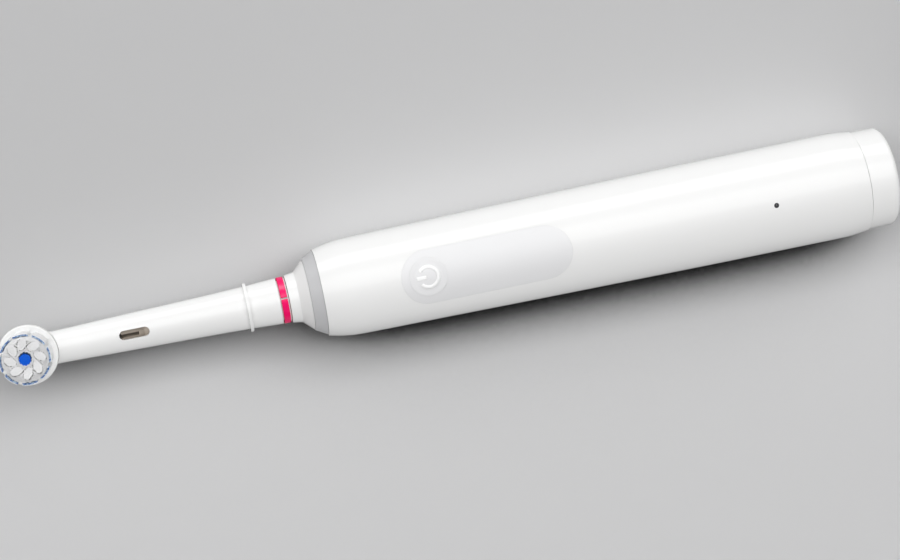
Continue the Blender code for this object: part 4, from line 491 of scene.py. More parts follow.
mark_bm = bmesh.new()
radial = [mark_bm.verts.new((-math.cos(mark_opening / 2) * radius, math.sin(mark_opening / 2) * radius, 0.0))
          for radius in (mark_radius - mark_stroke / 2, mark_radius, mark_radius + mark_stroke / 2)]
radial_edges = [mark_bm.edges.new(pair) for pair in zip(radial, radial[1:])]
bmesh.ops.spin(mark_bm, geom=radial + radial_edges, cent=(0.0, 0.0, 0.0), axis=(0.0, 0.0, 1.0),
               angle=-(math.tau - mark_opening), steps=mark_columns, use_duplicate=False)
bar = bmesh.ops.create_grid(mark_bm, x_segments=bar_columns, y_segments=bar_rows, size=0.5)["verts"]
bmesh.ops.scale(mark_bm, verts=bar, vec=(bar_length, mark_stroke, 1.0))
bmesh.ops.translate(mark_bm, verts=bar, vec=(-mark_radius - mark_stroke / 2 + bar_length / 2, 0.0, 0.0))
mark = laid_on_front("power_mark", mark_bm, button_x, ink_rise - dish_depth)
finish_piece(mark, white_ink, "button", 0.0)


# Charge light. A clear rod moulded in smoked plastic carries the light from the board to the face,
# where it ends flush in a paler core.
core_radius = 0.00028
core_sides = 24
lens_sides = 32
lens_round = 0.00006
smoked = skinned("smoked clear plastic", (0.045, 0.045, 0.05), roughness=0.08, grain_size=600.0,
                 grain_depth=0.0000005, unevenness=0.01, handling=0.02)
pale_core = skinned("clear light pipe", (0.10, 0.10, 0.105), roughness=0.15, grain_size=600.0,
                    grain_depth=0.0000005, unevenness=0.01, handling=0.02)
rod_length = lens_high.z - lens_low.z
lens = inlay("charge_light_window", disc_outline(lens_x, lens_radius, lens_sides), rod_length)
finish_piece(lens, smoked, "handle", lens_round)
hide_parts("status_lens")
core_bm = bmesh.new()
bmesh.ops.create_circle(core_bm, cap_ends=True, segments=core_sides, radius=core_radius)
core = laid_on_front("charge_light_core", core_bm, lens_x, ink_rise)
finish_piece(core, pale_core, "handle", 0.0)


# Back grip. The same elastomer as the pad, in a long pill with cross ribs. The flat crests of the ribs
# are what the brush lies on.
rib_rise = 0.0007
rib_pitch = 0.0070
groove_width = 0.0030
grip_thickness = 0.0008
rib_round = 0.0002
grip = made_object("back_grip_moulding", prism(pill_outline(
    grip_low.x, grip_high.x, grip_high.y - grip_low.y), -axis_height, axis_height))
carve(grip, handle_form(-rib_rise), "INTERSECT")
carve(grip, handle_form(grip_thickness))
groove_bm = bmesh.new()
grooves = int((grip_high.x - grip_low.x) / rib_pitch + 0.5) - 1
for groove in range(1, grooves + 1):
    x = grip_low.x + groove * rib_pitch
    add_prism(groove_bm, box_outline(x - groove_width / 2, x + groove_width / 2, -2 * shell_radius,
                                     2 * shell_radius), -axis_height, rib_rise)
carve(grip, prism(box_outline(grip_low.x - rib_pitch, grip_high.x + rib_pitch, -2 * shell_radius,
                              2 * shell_radius), -2 * axis_height, 0.0))
carve(grip, groove_bm)
finish_piece(grip, soft_grain, "handle", rib_round)
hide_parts("rear_grip")


# Base cap. A white cap pressed into the handle's open end, a hair smaller than the handle, with the
# blind socket that the charger's post goes in.
cap_low, cap_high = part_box("base_cap")
cap_radius = (cap_high.y - cap_low.y) / 2
cap_edge = 0.0018
cap_gap = 0.0002
cap_length = cap_high.x - shell_high.x - cap_gap
socket_radius = 0.0050
socket_depth = 0.0140
socket_wall = 0.0012
socket_lead = 0.0004
cap_floor = 0.0020
spigot_play = 0.0003
spigot_radius = bore - spigot_play
spigot_wall = 0.0012
spigot_length = 0.0050
cap_steps = 12
cap_round = 0.0001
cap_face = cap_high.x
cap_profile = [(cap_face - socket_depth, 0.0), (cap_face - socket_depth, socket_radius),
               (cap_face - socket_lead, socket_radius), (cap_face, socket_radius + socket_lead)]
cap_profile += [(cap_face - cap_edge * (1 - math.cos(angle)), cap_radius - cap_edge * (1 - math.sin(angle)))
                for angle in quarter_turn(cap_steps)]
cap_seam = cap_face - cap_length
cap_profile += [(cap_seam, cap_radius), (cap_seam, spigot_radius), (cap_seam - spigot_length, spigot_radius),
                (cap_seam - spigot_length, spigot_radius - spigot_wall),
                (cap_face - cap_floor, spigot_radius - spigot_wall),
                (cap_face - cap_floor, socket_radius + socket_wall),
                (cap_face - socket_depth - socket_wall, socket_radius + socket_wall),
                (cap_face - socket_depth - socket_wall, 0.0)]
base_cap = made_object("base_cap_moulding", turned(cap_profile, shell_steps))
finish_piece(base_cap, white_gloss, "handle", cap_round)
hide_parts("base_cap")


# Light ring and neck collar. A frosted ring that lights up when the teeth are pressed too hard, held
# by the white collar in front of it.
ring_low, ring_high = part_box("light_ring")
collar_low, collar_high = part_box("neck_collar")
ring_back = (ring_high.y - ring_low.y) / 2
ring_front = 0.00931
ring_bore = 0.0087
cone_length = 0.0027
collar_back = 0.0066
collar_front = (0.0062, 0.0050)
collar_spigot = 0.0084
collar_wall = 0.0012
collar_reach = 0.0002
collar_step = 0.0001
collar_mouth = 0.0027
collar_round = 0.00015
lip = 0.0005
lip_depth = 0.0003
ring_round = 0.00012
frosted = skinned("frosted grey plastic", (0.58, 0.58, 0.59), roughness=0.32, grain_size=3000.0,
                  grain_depth=0.000005, unevenness=0.02, handling=0.06)
let_light_in(frosted, weight=0.15, reach=(0.001, 0.001, 0.001))
ring_seam = 0.00003
ring_start = shell_low.x - ring_seam
ring_end = ring_low.x
cone_start = ring_end - ring_seam
light_ring = made_object("light_ring_moulding", deepened(turned(
    [(ring_start, ring_bore), (ring_start, ring_back), (ring_end, ring_front), (ring_end, ring_bore)],
    shell_steps), beyond=ring_bore + ring_seam))
finish_piece(light_ring, frosted, "handle", ring_round)
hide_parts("light_ring")
collar_face = collar_low.x - collar_reach
collar = made_object("neck_collar_moulding", deepened(turned(
    [(collar_high.x, collar_spigot - collar_wall), (collar_high.x, collar_spigot),
     (cone_start, collar_spigot), (cone_start, ring_front - collar_step),
     (cone_start - cone_length, collar_back), (collar_face, collar_front[0]),
     (collar_face, collar_front[1] - lip_depth), (collar_low.x + lip, collar_front[1] - lip_depth),
     (collar_low.x + lip, collar_front[1]), (collar_low.x + lip + collar_mouth, collar_front[1]),
     (cone_start, collar_spigot - collar_wall)], shell_steps), beyond=collar_spigot + ring_seam))
finish_piece(collar, white_gloss, "handle", collar_round)
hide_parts("neck_collar")


# Brush head tube. One white moulding from the skirt that meets the handle to the cup under the disc.
# A thin flange stops the fingers, and a slot over the coupler lets the rinsing water out.
id_low, id_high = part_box("id_ring")
disc_low, disc_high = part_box("bristle_carrier")
coupler_low, coupler_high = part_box("drive_coupler")
head_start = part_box("head_tube")[1].x
stub_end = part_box("drive_frame")[0].x
disc_x = (disc_low.x + disc_high.x) / 2
disc_radius = (disc_high.x - disc_low.x) / 2
disc_lift = 0.0022
disc_underside = axis_height + disc_lift
disc_gap = 0.0001
seat_gap = 0.0003
skirt_start = id_low.x - seat_gap
skirt_length = 0.0078
skirt_back = 0.0060
skirt_front = 0.0056
flange_thickness = 0.0008
flange_radius = 0.0064
head_spigot = 0.0052
neck_radius = 0.0055
cup_radius = 0.0069
cup_depth = 0.0048
cup_wall = 0.0010
cup_floor = 0.0011
socket_bore = 0.0046
channel_radius = 0.0034
neck_bore = 0.0026
coupler_room = 0.0286
bead_radius = 0.0057
bead_gap = 0.00015
dome_power = 2.6
tip_power = 8
side_blend = 0.0012
under_blend = 0.0010
head_steps = 96
neck_steps = 130
neck_crowding = 1.5
head_round = 0.00018
overcut = 0.001
stub_gap = 0.0001
window_length = 0.0078
window_width = 0.00245
window_reach = 0.0266
# Share of the way from the flange to the disc's middle, share of the neck's radius
neck_outline_shares = ((0.0, 1.0), (0.195, 0.932), (0.357, 0.893), (0.622, 0.827), (0.788, 0.773),
                       (0.93, 0.745), (1.0, 0.74))
flange_face = skirt_start - skirt_length
neck_start = flange_face - flange_thickness


def neck_share(share):
    rows = neck_outline_shares
    for here, there in zip(rows, rows[1:]):
        if share <= there[0]:
            return here[1] + (share - here[0]) / (there[0] - here[0]) * (there[1] - here[1])
    return rows[-1][1]


def soft_larger(one, other, blend):
    """The larger of two sizes, with the step between them rounded over."""
    return (one + other + math.sqrt((one - other) ** 2 + blend ** 2)) / 2


cup_top = disc_underside - seat_gap
tip_x = disc_x - cup_radius


def neck_section(x):
    """Half-width, reach below and reach above of the head's outside at a station."""
    share = (neck_start - x) / (neck_start - disc_x)
    neck = neck_radius * neck_share(min(share, 1.0))
    away = abs(x - disc_x)
    circle = math.sqrt(max(cup_radius ** 2 - away ** 2, 0.0))
    dome = cup_depth * math.sqrt(max(1.0 - (away / cup_radius) ** dome_power, 0.0))
    if x < disc_x:
        tip = math.sqrt(max(1.0 - (away / cup_radius) ** tip_power, 0.0))
        return circle, dome, max(cup_top - axis_height, 0.0) * tip
    return soft_larger(neck, circle, side_blend), soft_larger(neck, dome, under_blend), neck


neck_stations = [neck_start + (tip_x - neck_start) * (1 - (1 - step / neck_steps) ** neck_crowding)
                 for step in range(neck_steps)]
bead_end = collar_face - bead_gap
head_bm = turned([(bead_end, 0.0), (bead_end, bead_radius), (head_start + fit, bead_radius),
                  (head_start + fit, head_spigot), (skirt_start, head_spigot),
                  (skirt_start, skirt_back), (flange_face, skirt_front), (flange_face, flange_radius),
                  (neck_start, flange_radius)] + [(x, neck_section(x)[0]) for x in neck_stations]
                 + [(tip_x, 0.0)], head_steps)
for vert in head_bm.verts:
    if vert.co.x < neck_start and math.hypot(vert.co.y, vert.co.z - axis_height) > 0.0:
        half_width, below, above = neck_section(vert.co.x)
        if half_width > 0.0:
            reach = above if vert.co.z > axis_height else below
            vert.co.z = axis_height + (vert.co.z - axis_height) * reach / half_width
head = made_object("brush_head_moulding", head_bm)
step_x = stub_end - coupler_room
channel_end = disc_x + cup_radius - cup_wall - overcut
socket_end = stub_end - stub_gap
carve(head, turned([(head_start + overcut, 0.0), (head_start + overcut, socket_bore),
                    (socket_end, socket_bore), (socket_end, channel_radius), (step_x, channel_radius),
                    (step_x, neck_bore), (channel_end, neck_bore), (channel_end, 0.0)], head_steps))
carve(head, prism(disc_outline(disc_x, cup_radius - cup_wall), axis_height + cup_floor - cup_depth,
                  axis_height + 2 * cup_depth))
carve(head, prism(disc_outline(disc_x, disc_radius + disc_gap, head_steps), cup_top,
                  axis_height + 2 * cup_depth))
window_x = stub_end - window_reach
carve(head, prism(pill_outline(window_x - window_length / 2, window_x + window_length / 2, window_width),
                  axis_height, axis_height + 2 * neck_radius))
finish_piece(head, white_gloss, "brush_head", head_round)
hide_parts("head_tube")


# Identification ring. A coloured ring that tells one user's head from another's. It is split so that
# it can be spread and snapped on the head's spigot.
id_radius = (id_high.y - id_low.y) / 2
id_play = 0.0001
id_bore = head_spigot + id_play
id_round = 0.00015
split_width = 0.0005
split_angle = math.radians(12.0)
rose = skinned("rose plastic", (0.90, 0.006, 0.14), roughness=0.22, grain_size=700.0, grain_depth=0.000002,
               unevenness=0.03, handling=0.05)
let_light_in(rose, weight=0.12, reach=(0.0015, 0.0004, 0.0006))
id_bm = bmesh.new()
corners = [id_bm.verts.new((x, 0.0, radius)) for x, radius in
           ((id_high.x, id_bore), (id_high.x, id_radius), (id_low.x, id_radius), (id_low.x, id_bore))]
section = id_bm.faces.new(corners)
half_split = math.asin(split_width / 2 / id_radius)
bmesh.ops.rotate(id_bm, verts=corners, cent=(0.0, 0.0, 0.0),
                 matrix=Matrix.Rotation(half_split - split_angle, 3, "X"))
bmesh.ops.spin(id_bm, geom=[section] + list(section.edges) + corners, cent=(0.0, 0.0, 0.0),
               axis=(1.0, 0.0, 0.0), angle=math.tau - 2 * half_split, steps=head_steps, use_duplicate=False)
bmesh.ops.recalc_face_normals(id_bm, faces=id_bm.faces)
bmesh.ops.translate(id_bm, verts=id_bm.verts, vec=(0.0, 0.0, axis_height))
id_ring = made_object("colour_ring", id_bm)
finish_piece(id_ring, rose, "brush_head", id_round)
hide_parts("id_ring")


# Drive coupler and rod. A beige acetal sleeve, seen through the slot, takes the shaft's flat at one end
# and at the other the steel rod that swings the disc.
coupler_radius = (coupler_high.y - coupler_low.y) / 2
coupler_nose = 0.0022
nose_start = -0.0812
nose_end = -0.0872
nose_length = nose_start - nose_end
shaft_radius = 0.00165
shaft_flat = 0.0005
shaft_depth = 0.0143
rod_radius = 0.0007
rod_socket = 0.0080
rod_play = 0.0001
slot_length = 0.0046
slot_sides = (-0.00085, 0.00005)
coupler_steps = 64
rod_steps = 32
coupler_round = 0.00012
beige = skinned("beige acetal", (0.60, 0.52, 0.44), roughness=0.42, grain_size=1400.0, grain_depth=0.000004,
                unevenness=0.05, handling=0.06)
coupler = made_object("drive_coupler_moulding", turned(
    [(coupler_high.x, 0.0), (coupler_high.x, coupler_radius), (nose_start, coupler_radius),
     (nose_start, coupler_nose), (nose_end, coupler_nose), (nose_end, 0.0)], coupler_steps))
shaft_bore = shaft_radius + seat_gap
bore_bm = turned([(coupler_high.x + nose_length, 0.0), (coupler_high.x + nose_length, shaft_bore),
                  (coupler_high.x - shaft_depth, shaft_bore), (coupler_high.x - shaft_depth, 0.0)],
                 coupler_steps)
bmesh.ops.bisect_plane(bore_bm, geom=bore_bm.verts[:] + bore_bm.edges[:] + bore_bm.faces[:],
                       plane_co=(0.0, 0.0, axis_height + shaft_radius - shaft_flat + seat_gap),
                       plane_no=(0.0, 0.0, 1.0), clear_outer=True)
bmesh.ops.holes_fill(bore_bm, edges=[edge for edge in bore_bm.edges if edge.is_boundary])
bmesh.ops.recalc_face_normals(bore_bm, faces=bore_bm.faces)
carve(coupler, bore_bm)
rod_bore = rod_radius + rod_play
carve(coupler, turned([(nose_end - nose_length, 0.0), (nose_end - nose_length, rod_bore),
                       (coupler_low.x + rod_socket, rod_bore), (coupler_low.x + rod_socket, 0.0)], rod_steps))
carve(coupler, prism(box_outline(nose_end - nose_length, nose_end + slot_length, *slot_sides), axis_height,
                     axis_height + 2 * coupler_nose))
finish_piece(coupler, beige, "coupler", coupler_round)
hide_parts("drive_coupler")


# Bristle disc. A white round carrier with a raised rim, on a hub that turns on the pin in the cup.
disc_top = disc_high.z
disc_rim = 0.0006
disc_recess = 0.0010
disc_dish = 0.0001
slice_top = disc_top - disc_dish
hub_radius = 0.0038
disc_round = 0.0005
disc_steps = 96
round_steps = 6
pin_radius = 0.0008
pin_play = 0.00015
pin_steps = 24
rod_offset = 0.0024
disc_profile = [(0.0, disc_low.z), (hub_radius, disc_low.z), (hub_radius, disc_underside)]
disc_profile += [(disc_radius - disc_round * (1 - math.sin(angle)),
                  disc_underside + disc_round * (1 - math.cos(angle))) for angle in quarter_turn(round_steps)]
disc_profile += [(disc_radius - disc_rim / 2 * (1 - math.cos(angle)),
                  disc_top - disc_rim / 2 * (1 - math.sin(angle))) for angle in quarter_turn(round_steps)]
disc_profile += [(disc_radius - disc_rim, disc_top), (disc_radius - 2 * disc_rim, slice_top),
                 (0.0, slice_top)]
disc = made_object("bristle_disc", upright(disc_profile, disc_steps, disc_x))
carve(disc, prism(disc_outline(disc_x, pin_radius + pin_play, pin_steps), disc_low.z - overcut,
                  disc_top - disc_recess - seat_gap))
slot_inner = pin_radius + cup_wall - seat_gap
slot_outer = hub_radius + overcut
slot_narrow = rod_radius + seat_gap
slot_wide = slot_narrow + (slot_outer - slot_inner) * rod_offset / hub_radius
carve(disc, prism([(disc_x + slot_inner, -slot_narrow), (disc_x + slot_outer, -slot_wide),
                   (disc_x + slot_outer, slot_wide), (disc_x + slot_inner, slot_narrow)],
                  disc_low.z - overcut, axis_height + rod_radius + 2 * seat_gap - rod_offset))
disc_white = skinned("bright white acetal", (0.93, 0.93, 0.925), roughness=0.3, grain_size=700.0,
                     grain_depth=0.000002, unevenness=0.02, handling=0.03)
finish_piece(disc, disc_white, "carrier", 0.0)
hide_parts("bristle_carrier")


# Bristles. Nylon filaments folded over a wire and stapled in the disc: a round blue tuft, eight white
# tufts turned like petals, eight thin curved tufts of indicator blue near the rim, and shorter white
# filaments between them. Use has bent them all a little towards the brush's tip.
filament_sides = 6
end_round = 0.3
filament_polish = (0.25, 0.45)
# Dark and light shade of the ends and the shade of the feet, size and contrast of the patches, and the
# heights between which the dye comes in
filament_dyes = {
    "blue": ((0.0, 0.10, 0.66), (0.005, 0.20, 0.92), (0.35, 0.62, 0.95), 5200.0, 0.9, 0.0052, 0.0060),
    "white": ((0.93, 0.93, 0.94), (0.97, 0.97, 0.97), (0.97, 0.97, 0.97), 5200.0, 0.9, 0.0, 0.0010),
    "indicator": ((0.02, 0.16, 0.50), (0.62, 0.76, 0.92), (0.93, 0.95, 0.97), 1900.0, 3.0, 0.0052, 0.0059),
}


def bristle_finish(name, dark, light, foot, patch_scale, contrast, dyed_from, dyed_to):
    """Translucent nylon: the dye is strongest at the ends, and takes unevenly from bristle to bristle."""
    material = new_material(name, light)
    tree = material.node_tree
    place = object_place(tree)
    speckle = add_noise(tree, place, scale=patch_scale, detail=2.0)
    ends = mixed(tree, ranged(tree, speckle, 0.5 - contrast, 0.5 + contrast), (*dark, 1.0), (*light, 1.0))
    height = add_node(tree, "SeparateXYZ", {0: place}).outputs["Z"]
    dye = eased(tree, height, slice_top + dyed_from, slice_top + dyed_to)
    set_inputs(tree, tree.nodes["Principled BSDF"], {
        "Base Color": mixed(tree, dye, (*foot, 1.0), ends),
        "Roughness": ranged(tree, speckle, *filament_polish)})
    let_light_in(material, weight=0.25, reach=(0.0006, 0.0006, 0.0006))
    return material


blue_filament, white_filament, indicator_filament = (
    bristle_finish(dye + " nylon filament", *row) for dye, row in filament_dyes.items())


def make_filament(radius, length):
    """One bristle, a thin post whose end is rounded over, as a mesh to copy from."""
    bm = bmesh.new()
    ring = bmesh.ops.create_circle(bm, cap_ends=False, segments=filament_sides, radius=radius)["verts"]
    edges = list({edge for vert in ring for edge in vert.link_edges})
    for height, width in ((length - end_round * radius, 1.0), (end_round * radius, 1.0 - end_round)):
        raised = bmesh.ops.extrude_edge_only(bm, edges=edges)["geom"]
        ring = [item for item in raised if isinstance(item, bmesh.types.BMVert)]
        edges = [item for item in raised if isinstance(item, bmesh.types.BMEdge)
                 and item.verts[0] in ring and item.verts[1] in ring]
        bmesh.ops.translate(bm, verts=ring, vec=(0.0, 0.0, height))
        bmesh.ops.scale(bm, verts=ring, vec=(width, width, 1.0))
    bmesh.ops.contextual_create(bm, geom=edges)
    bmesh.ops.recalc_face_normals(bm, faces=bm.faces)
    mesh = bpy.data.meshes.new("filament")
    bm.to_mesh(mesh)
    bm.free()
    return mesh


def add_filament(bm, root, tip):
    """Copy the bristle into a tuft, with its foot on one place and its end on another."""
    first = len(bm.verts)
    bm.from_mesh(filament)
    bm.verts.ensure_lookup_table()
    stretch = tip - root - Vector((0.0, 0.0, filament_length))
    for vert in bm.verts[first:]:
        if vert.co.z > 0.0:
            vert.co += stretch
        vert.co += root


tuft_noise_scale = 9000.0


def tuft_noise(place, amount):
    """A small, fixed unevenness for a place on the disc."""
    return amount * noise.noise(Vector((place.x, place.y, 0.0)) * tuft_noise_scale)


def rows_in_oval(length, width, pitch):
    """Close-packed places inside an oval that lies along x."""
    places = []
    rise = pitch * math.sqrt(3) / 2
    rows = int(width / 2 / rise)
    for row in range(-rows, rows + 1):
        across = row * rise
        reach = length / 2 * math.sqrt(max(1 - (2 * across / width) ** 2, 0.0))
        shift = pitch / 2 if row % 2 else 0.0
        count = int((reach - shift) / pitch)
        for column in range(-count - (1 if shift else 0), count + 1):
            places.append(Vector((column * pitch + shift, across)))
    return places


filament_radius = 0.000125
filament_pitch = 0.00023
filament_length = 0.0070
filament_sunk = 0.0004
filament_root = slice_top - filament_sunk
tuft_spread = 1.02
filament = make_filament(filament_radius, filament_length)


def add_bent(bm, place, height, bend):
    """One filament of a tuft: bent a little over its height, and spread from the tuft's middle."""
    add_filament(bm, Vector((disc_x + place.x, place.y, filament_root)),
                 Vector((disc_x + place.x * tuft_spread + bend[0], place.y * tuft_spread + bend[1],
                         slice_top + height)))


def finish_tuft(name, bm, material):
    return finish_piece(made_object(name, bm), material, "carrier", 0.0)


centre_tuft_width = 0.0028
centre_length = 0.0068
centre_bend = (-0.0007, 0.0)
centre_unevenness = 0.0002
centre_crown = 60.0
centre_bm = bmesh.new()
for spot in rows_in_oval(centre_tuft_width, centre_tuft_width, filament_pitch):
    top = centre_length + tuft_noise(spot, centre_unevenness) - centre_crown * spot.length_squared
    add_bent(centre_bm, spot, top, centre_bend)
centre_tuft = finish_tuft("centre_tuft_filaments", centre_bm, blue_filament)
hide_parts("centre_tuft")

petal_count = 8
petal_length = 0.0031
petal_width = 0.0021
petal_orbit = 0.0037
petal_turn = math.radians(-33.0)
petal_height = 0.0068
petal_slope = 0.18
petal_unevenness = 0.00025
petal_crown = 140.0
petal_bend = (-0.0006, 0.0003)
petal_bm = bmesh.new()
petal_places = []
for petal in range(petal_count):
    around = math.tau * petal / petal_count
    middle = petal_orbit * Vector((math.cos(around), math.sin(around)))
    spin = Matrix.Rotation(around + petal_turn, 2)
    petal_places.append((middle, spin))
    for spot in rows_in_oval(petal_length, petal_width, filament_pitch):
        place = middle + spin @ spot
        top = petal_height + petal_slope * spot.x - petal_crown * spot.y ** 2
        add_bent(petal_bm, place, top + tuft_noise(place, petal_unevenness), petal_bend)
petal_tufts = finish_tuft("petal_tuft_filaments", petal_bm, white_filament)
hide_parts("petal_tufts")

outer_orbit = 0.0062
outer_length = 0.0036
outer_rows = 3
outer_height = 0.0064
outer_bend = (-0.0007, 0.0)
outer_unevenness = 0.0004
outer_row_pitch = 0.87 * filament_pitch
outer_bm = bmesh.new()
short_bm = bmesh.new()
for tuft in range(petal_count):
    around = math.tau * tuft / petal_count
    for row in range(outer_rows):
        orbit = outer_orbit + (row - (outer_rows - 1) / 2) * outer_row_pitch
        count = int(outer_length / filament_pitch)
        for index in range(count):
            angle = around + ((index + 0.5 * (row % 2)) / (count - 0.5) - 0.5) * outer_length / orbit
            place = orbit * Vector((math.cos(angle), math.sin(angle)))
            add_bent(short_bm if row == outer_rows - 1 else outer_bm, place,
                     outer_height + tuft_noise(place, outer_unevenness), outer_bend)
outer_tufts = finish_tuft("outer_tuft_filaments", outer_bm, indicator_filament)
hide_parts("outer_tufts")

short_height = 0.0067
short_settle = 0.0012
short_unevenness = 0.0003
short_pitch = 1.15 * filament_pitch
short_inner = centre_tuft_width / 2 + filament_pitch
short_outer = outer_orbit - filament_pitch * outer_rows / 2 - filament_radius


def in_petal(spot, middle, spin):
    inside = spin.transposed() @ (spot - middle)
    return math.hypot(inside.x / (petal_length / 2 + filament_radius),
                      inside.y / (petal_width / 2 + filament_radius)) < 1.0


for spot in rows_in_oval(2 * short_outer, 2 * short_outer, short_pitch):
    if (short_inner < spot.length < short_outer
            and not any(in_petal(spot, middle, spin) for middle, spin in petal_places)):
        bend = (petal_bend[0], petal_bend[1] * min((short_outer - spot.length) / short_settle, 1.0))
        add_bent(short_bm, spot, short_height + tuft_noise(spot, short_unevenness), bend)
finish_tuft("short_tuft_filaments", short_bm, white_filament)


# Working parts inside. Nylon frames, rubber seals, steel and brass turned parts, a circuit board, a cell
# and a wound coil. They stay the CAD's own solids, and each gets the finish of its material.

# Colour, roughness, size and depth of the grain, unevenness, handling and metallic share of each finish
inside_rows = {
    "grey nylon": ((0.40, 0.40, 0.41), 0.5, 1600.0, 0.000006, 0.06, 0.08, 0.0),
    "black rubber": ((0.025, 0.025, 0.026), 0.6, 2600.0, 0.000010, 0.10, 0.10, 0.0),
    "bright steel": ((0.60, 0.60, 0.60), 0.20, 1800.0, 0.000002, 0.08, 0.10, 1.0),
    "cut brass": ((0.72, 0.52, 0.22), 0.24, 1800.0, 0.000003, 0.10, 0.10, 1.0),
    "green laminate": ((0.01, 0.16, 0.07), 0.32, 1400.0, 0.000004, 0.30, 0.08, 0.0),
    "black moulded package": ((0.03, 0.03, 0.032), 0.42, 3200.0, 0.000004, 0.10, 0.05, 0.0),
    "blue shrink sleeve": ((0.03, 0.13, 0.40), 0.26, 700.0, 0.000008, 0.10, 0.08, 0.0),
}


def make_wound_copper():
    """Enamelled wire laid turn beside turn round a bobbin."""
    material = skinned("wound copper wire", (0.62, 0.26, 0.12), roughness=0.25, unevenness=0.15, metallic=1.0)
    tree = material.node_tree
    turns = add_node(tree, "TexWave", {"Scale": 1100.0, "Vector": object_place(tree)}, bands_direction="X",
                     wave_profile="SIN")
    set_inputs(tree, tree.nodes["Bump"], {"Distance": 0.00008, "Height": turns.outputs["Fac"]})
    return material


inside_finishes = {name: skinned(name, *row) for name, row in inside_rows.items()}
inside_finishes["wound copper wire"] = make_wound_copper()
inside_nodes = {
    "grey nylon": ("coil_bobbin", "chassis", "drive_frame", "motor_cap", "link", "rocker_arm",
                   "socket_sleeve"),
    "black rubber": ("cap_seal", "neck_seal"),
    "bright steel": ("battery_tab_rear", "battery_tab_front", "board_screw_rear", "board_screw_front",
                     "tilt_pin_left", "tilt_pin_right", "pressure_spring", "motor_can", "motor_screw_left",
                     "motor_screw_right", "gear_axle", "motor_shaft", "drive_shaft", "head_pivot_pin",
                     "crank_rod"),
    "cut brass": ("rear_bearing", "front_bearing", "pinion", "crank_gear"),
    "green laminate": ("circuit_board",),
    "black moulded package": ("sensor_magnet", "button_switch", "charge_light"),
    "blue shrink sleeve": ("battery",),
    "wound copper wire": ("charging_coil",),
}
for finish, nodes in inside_nodes.items():
    for node in nodes:
        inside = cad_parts[node]
        inside.data.materials.clear()
        inside.data.materials.append(inside_finishes[finish])


# Floor. Plain pale card that the brush lies on, with a painted fall-off of light that makes its colour a
# shade deeper towards the far corners. The card shows its full colour to the camera and gives the brush less
# light back, and a painted shadow deepens the colour that it shows where the brush hides the sky towards the
# key.
floor_size = 6.0
floor_cells = 8
# Painted fall-off of light: the card's colour near the brush and towards the far corners, the place it is
# measured from, and where it starts and ends
floor_near = (0.82, 0.82, 0.825)
floor_far = (0.69, 0.69, 0.695)
floor_middle = (0.0, -0.6, 0.0)
floor_fade = (0.565, 0.645)
floor_bounce = 0.5
shade_direction = (0.0, 0.5, 0.866)
shade_reach = 0.12
shade_samples = 24
# Painted shadow: how much of the sky towards the key a place on the card sees, and the share of its colour
# that it then shows
shade_stops = ((0.43, 0.01), (0.465, 0.17), (0.49, 0.38), (0.515, 0.61), (0.56, 0.78), (0.64, 0.80),
               (0.76, 0.94), (0.88, 1.0))
floor_bm = bmesh.new()
bmesh.ops.create_grid(floor_bm, x_segments=floor_cells, y_segments=floor_cells, size=floor_size / 2)
floor = made_object("floor", floor_bm)


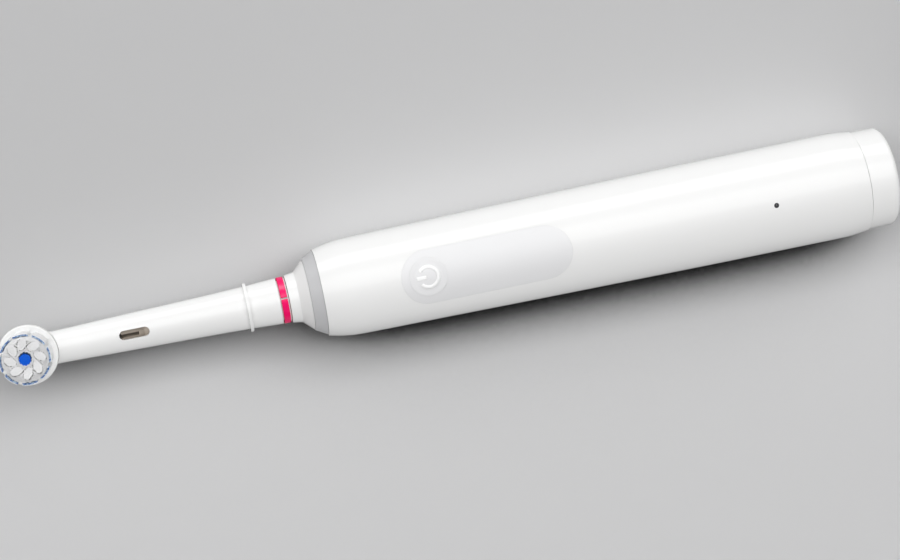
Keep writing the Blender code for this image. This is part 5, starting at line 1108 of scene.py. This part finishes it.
def make_card():
    card = skinned("pale card", floor_near, roughness=0.85, grain_size=900.0, grain_depth=0.000010,
                   unevenness=0.01, handling=0.02)
    tree = card.node_tree
    # Painted fall-off of light: the colour deepens with the distance from a place beyond the near edge.
    away = add_node(tree, "VectorMath", {0: object_place(tree), 1: floor_middle}, operation="DISTANCE")
    fade = eased(tree, away.outputs["Value"], *floor_fade)
    shade = mixed(tree, fade, (*floor_near, 1.0), (*floor_far, 1.0))
    # Painted shadow: where the brush hides the sky towards the key, the colour that the camera sees is
    # darkened.
    facing = add_node(tree, "CombineXYZ", dict(zip("XYZ", shade_direction)))
    cover = add_node(tree, "AmbientOcclusion", {"Distance": shade_reach, "Normal": facing.outputs[0]},
                     samples=shade_samples)
    painted_shadow = add_node(tree, "ValToRGB", {"Fac": cover.outputs["AO"]})
    stops = painted_shadow.color_ramp.elements
    for index, (place, share) in enumerate(shade_stops):
        stop = stops[index] if index < 2 else stops.new(place)
        stop.position = place
        stop.color = (share, share, share, 1.0)
    camera_ray = add_node(tree, "LightPath", {}).outputs["Is Camera Ray"]
    seen = add_node(tree, "Mix", {"Factor": camera_ray, "A": floor_bounce, "B": painted_shadow.outputs["Color"]})
    shown = add_node(tree, "VectorMath", {0: shade, "Scale": seen.outputs["Result"]}, operation="SCALE")
    skin = next(node for node in tree.nodes if node.type == "GROUP")
    set_inputs(tree, skin, {"Colour": shown.outputs[0]})
    return card


floor.data.materials.append(make_card())


# Light. A long soft box high on the far side, a weaker panel below it, and a low, wide panel on the
# near side that lifts the brush's underside. Both panels are flagged off the card, and a weak lamp beside
# the key lights the card alone.
lamp_distance = 2.2
# Degrees above the card, width, height, power, and 1 for the far side or -1 for the near one
lamp_rows = {
    "key box": (69.0, 6.0, 1.45, 50.0, 1),
    "side panel": (15.0, 3.6, 1.0, 46.0, 1),
    "near panel": (45.0, 5.0, 0.9, 39.0, -1),
    "card lamp": (69.0, 6.0, 1.45, 25.0, 1),
}
room_colour = (0.04, 0.04, 0.041, 1.0)


def soft_box(name, elevation, width, height, power, side):
    lamp_data = bpy.data.lights.new(name, "AREA")
    lamp_data.shape = "RECTANGLE"
    lamp_data.size = width
    lamp_data.size_y = height
    lamp_data.energy = power
    lamp = bpy.data.objects.new(name, lamp_data)
    rise = math.radians(elevation)
    away = Vector((0.0, side * math.cos(rise), math.sin(rise)))
    lamp.location = away * lamp_distance
    lamp.rotation_euler = away.to_track_quat("Z", "Y").to_euler()
    bpy.context.scene.collection.objects.link(lamp)
    return lamp


lamps = {name: soft_box(name, *row) for name, row in lamp_rows.items()}
lamps["near panel"].visible_glossy = False
for name, state in (("side panel", "EXCLUDE"), ("near panel", "EXCLUDE"), ("card lamp", "INCLUDE")):
    lit = bpy.data.collections.new(name + " and the card")
    lit.objects.link(floor)
    lit.collection_objects[0].light_linking.link_state = state
    lamps[name].light_linking.receiver_collection = lit
room = bpy.data.worlds.new("room")
room.use_nodes = True
room.node_tree.nodes["Background"].inputs["Color"].default_value = room_colour
bpy.context.scene.world = room
bpy.context.scene.view_settings.view_transform = "Standard"
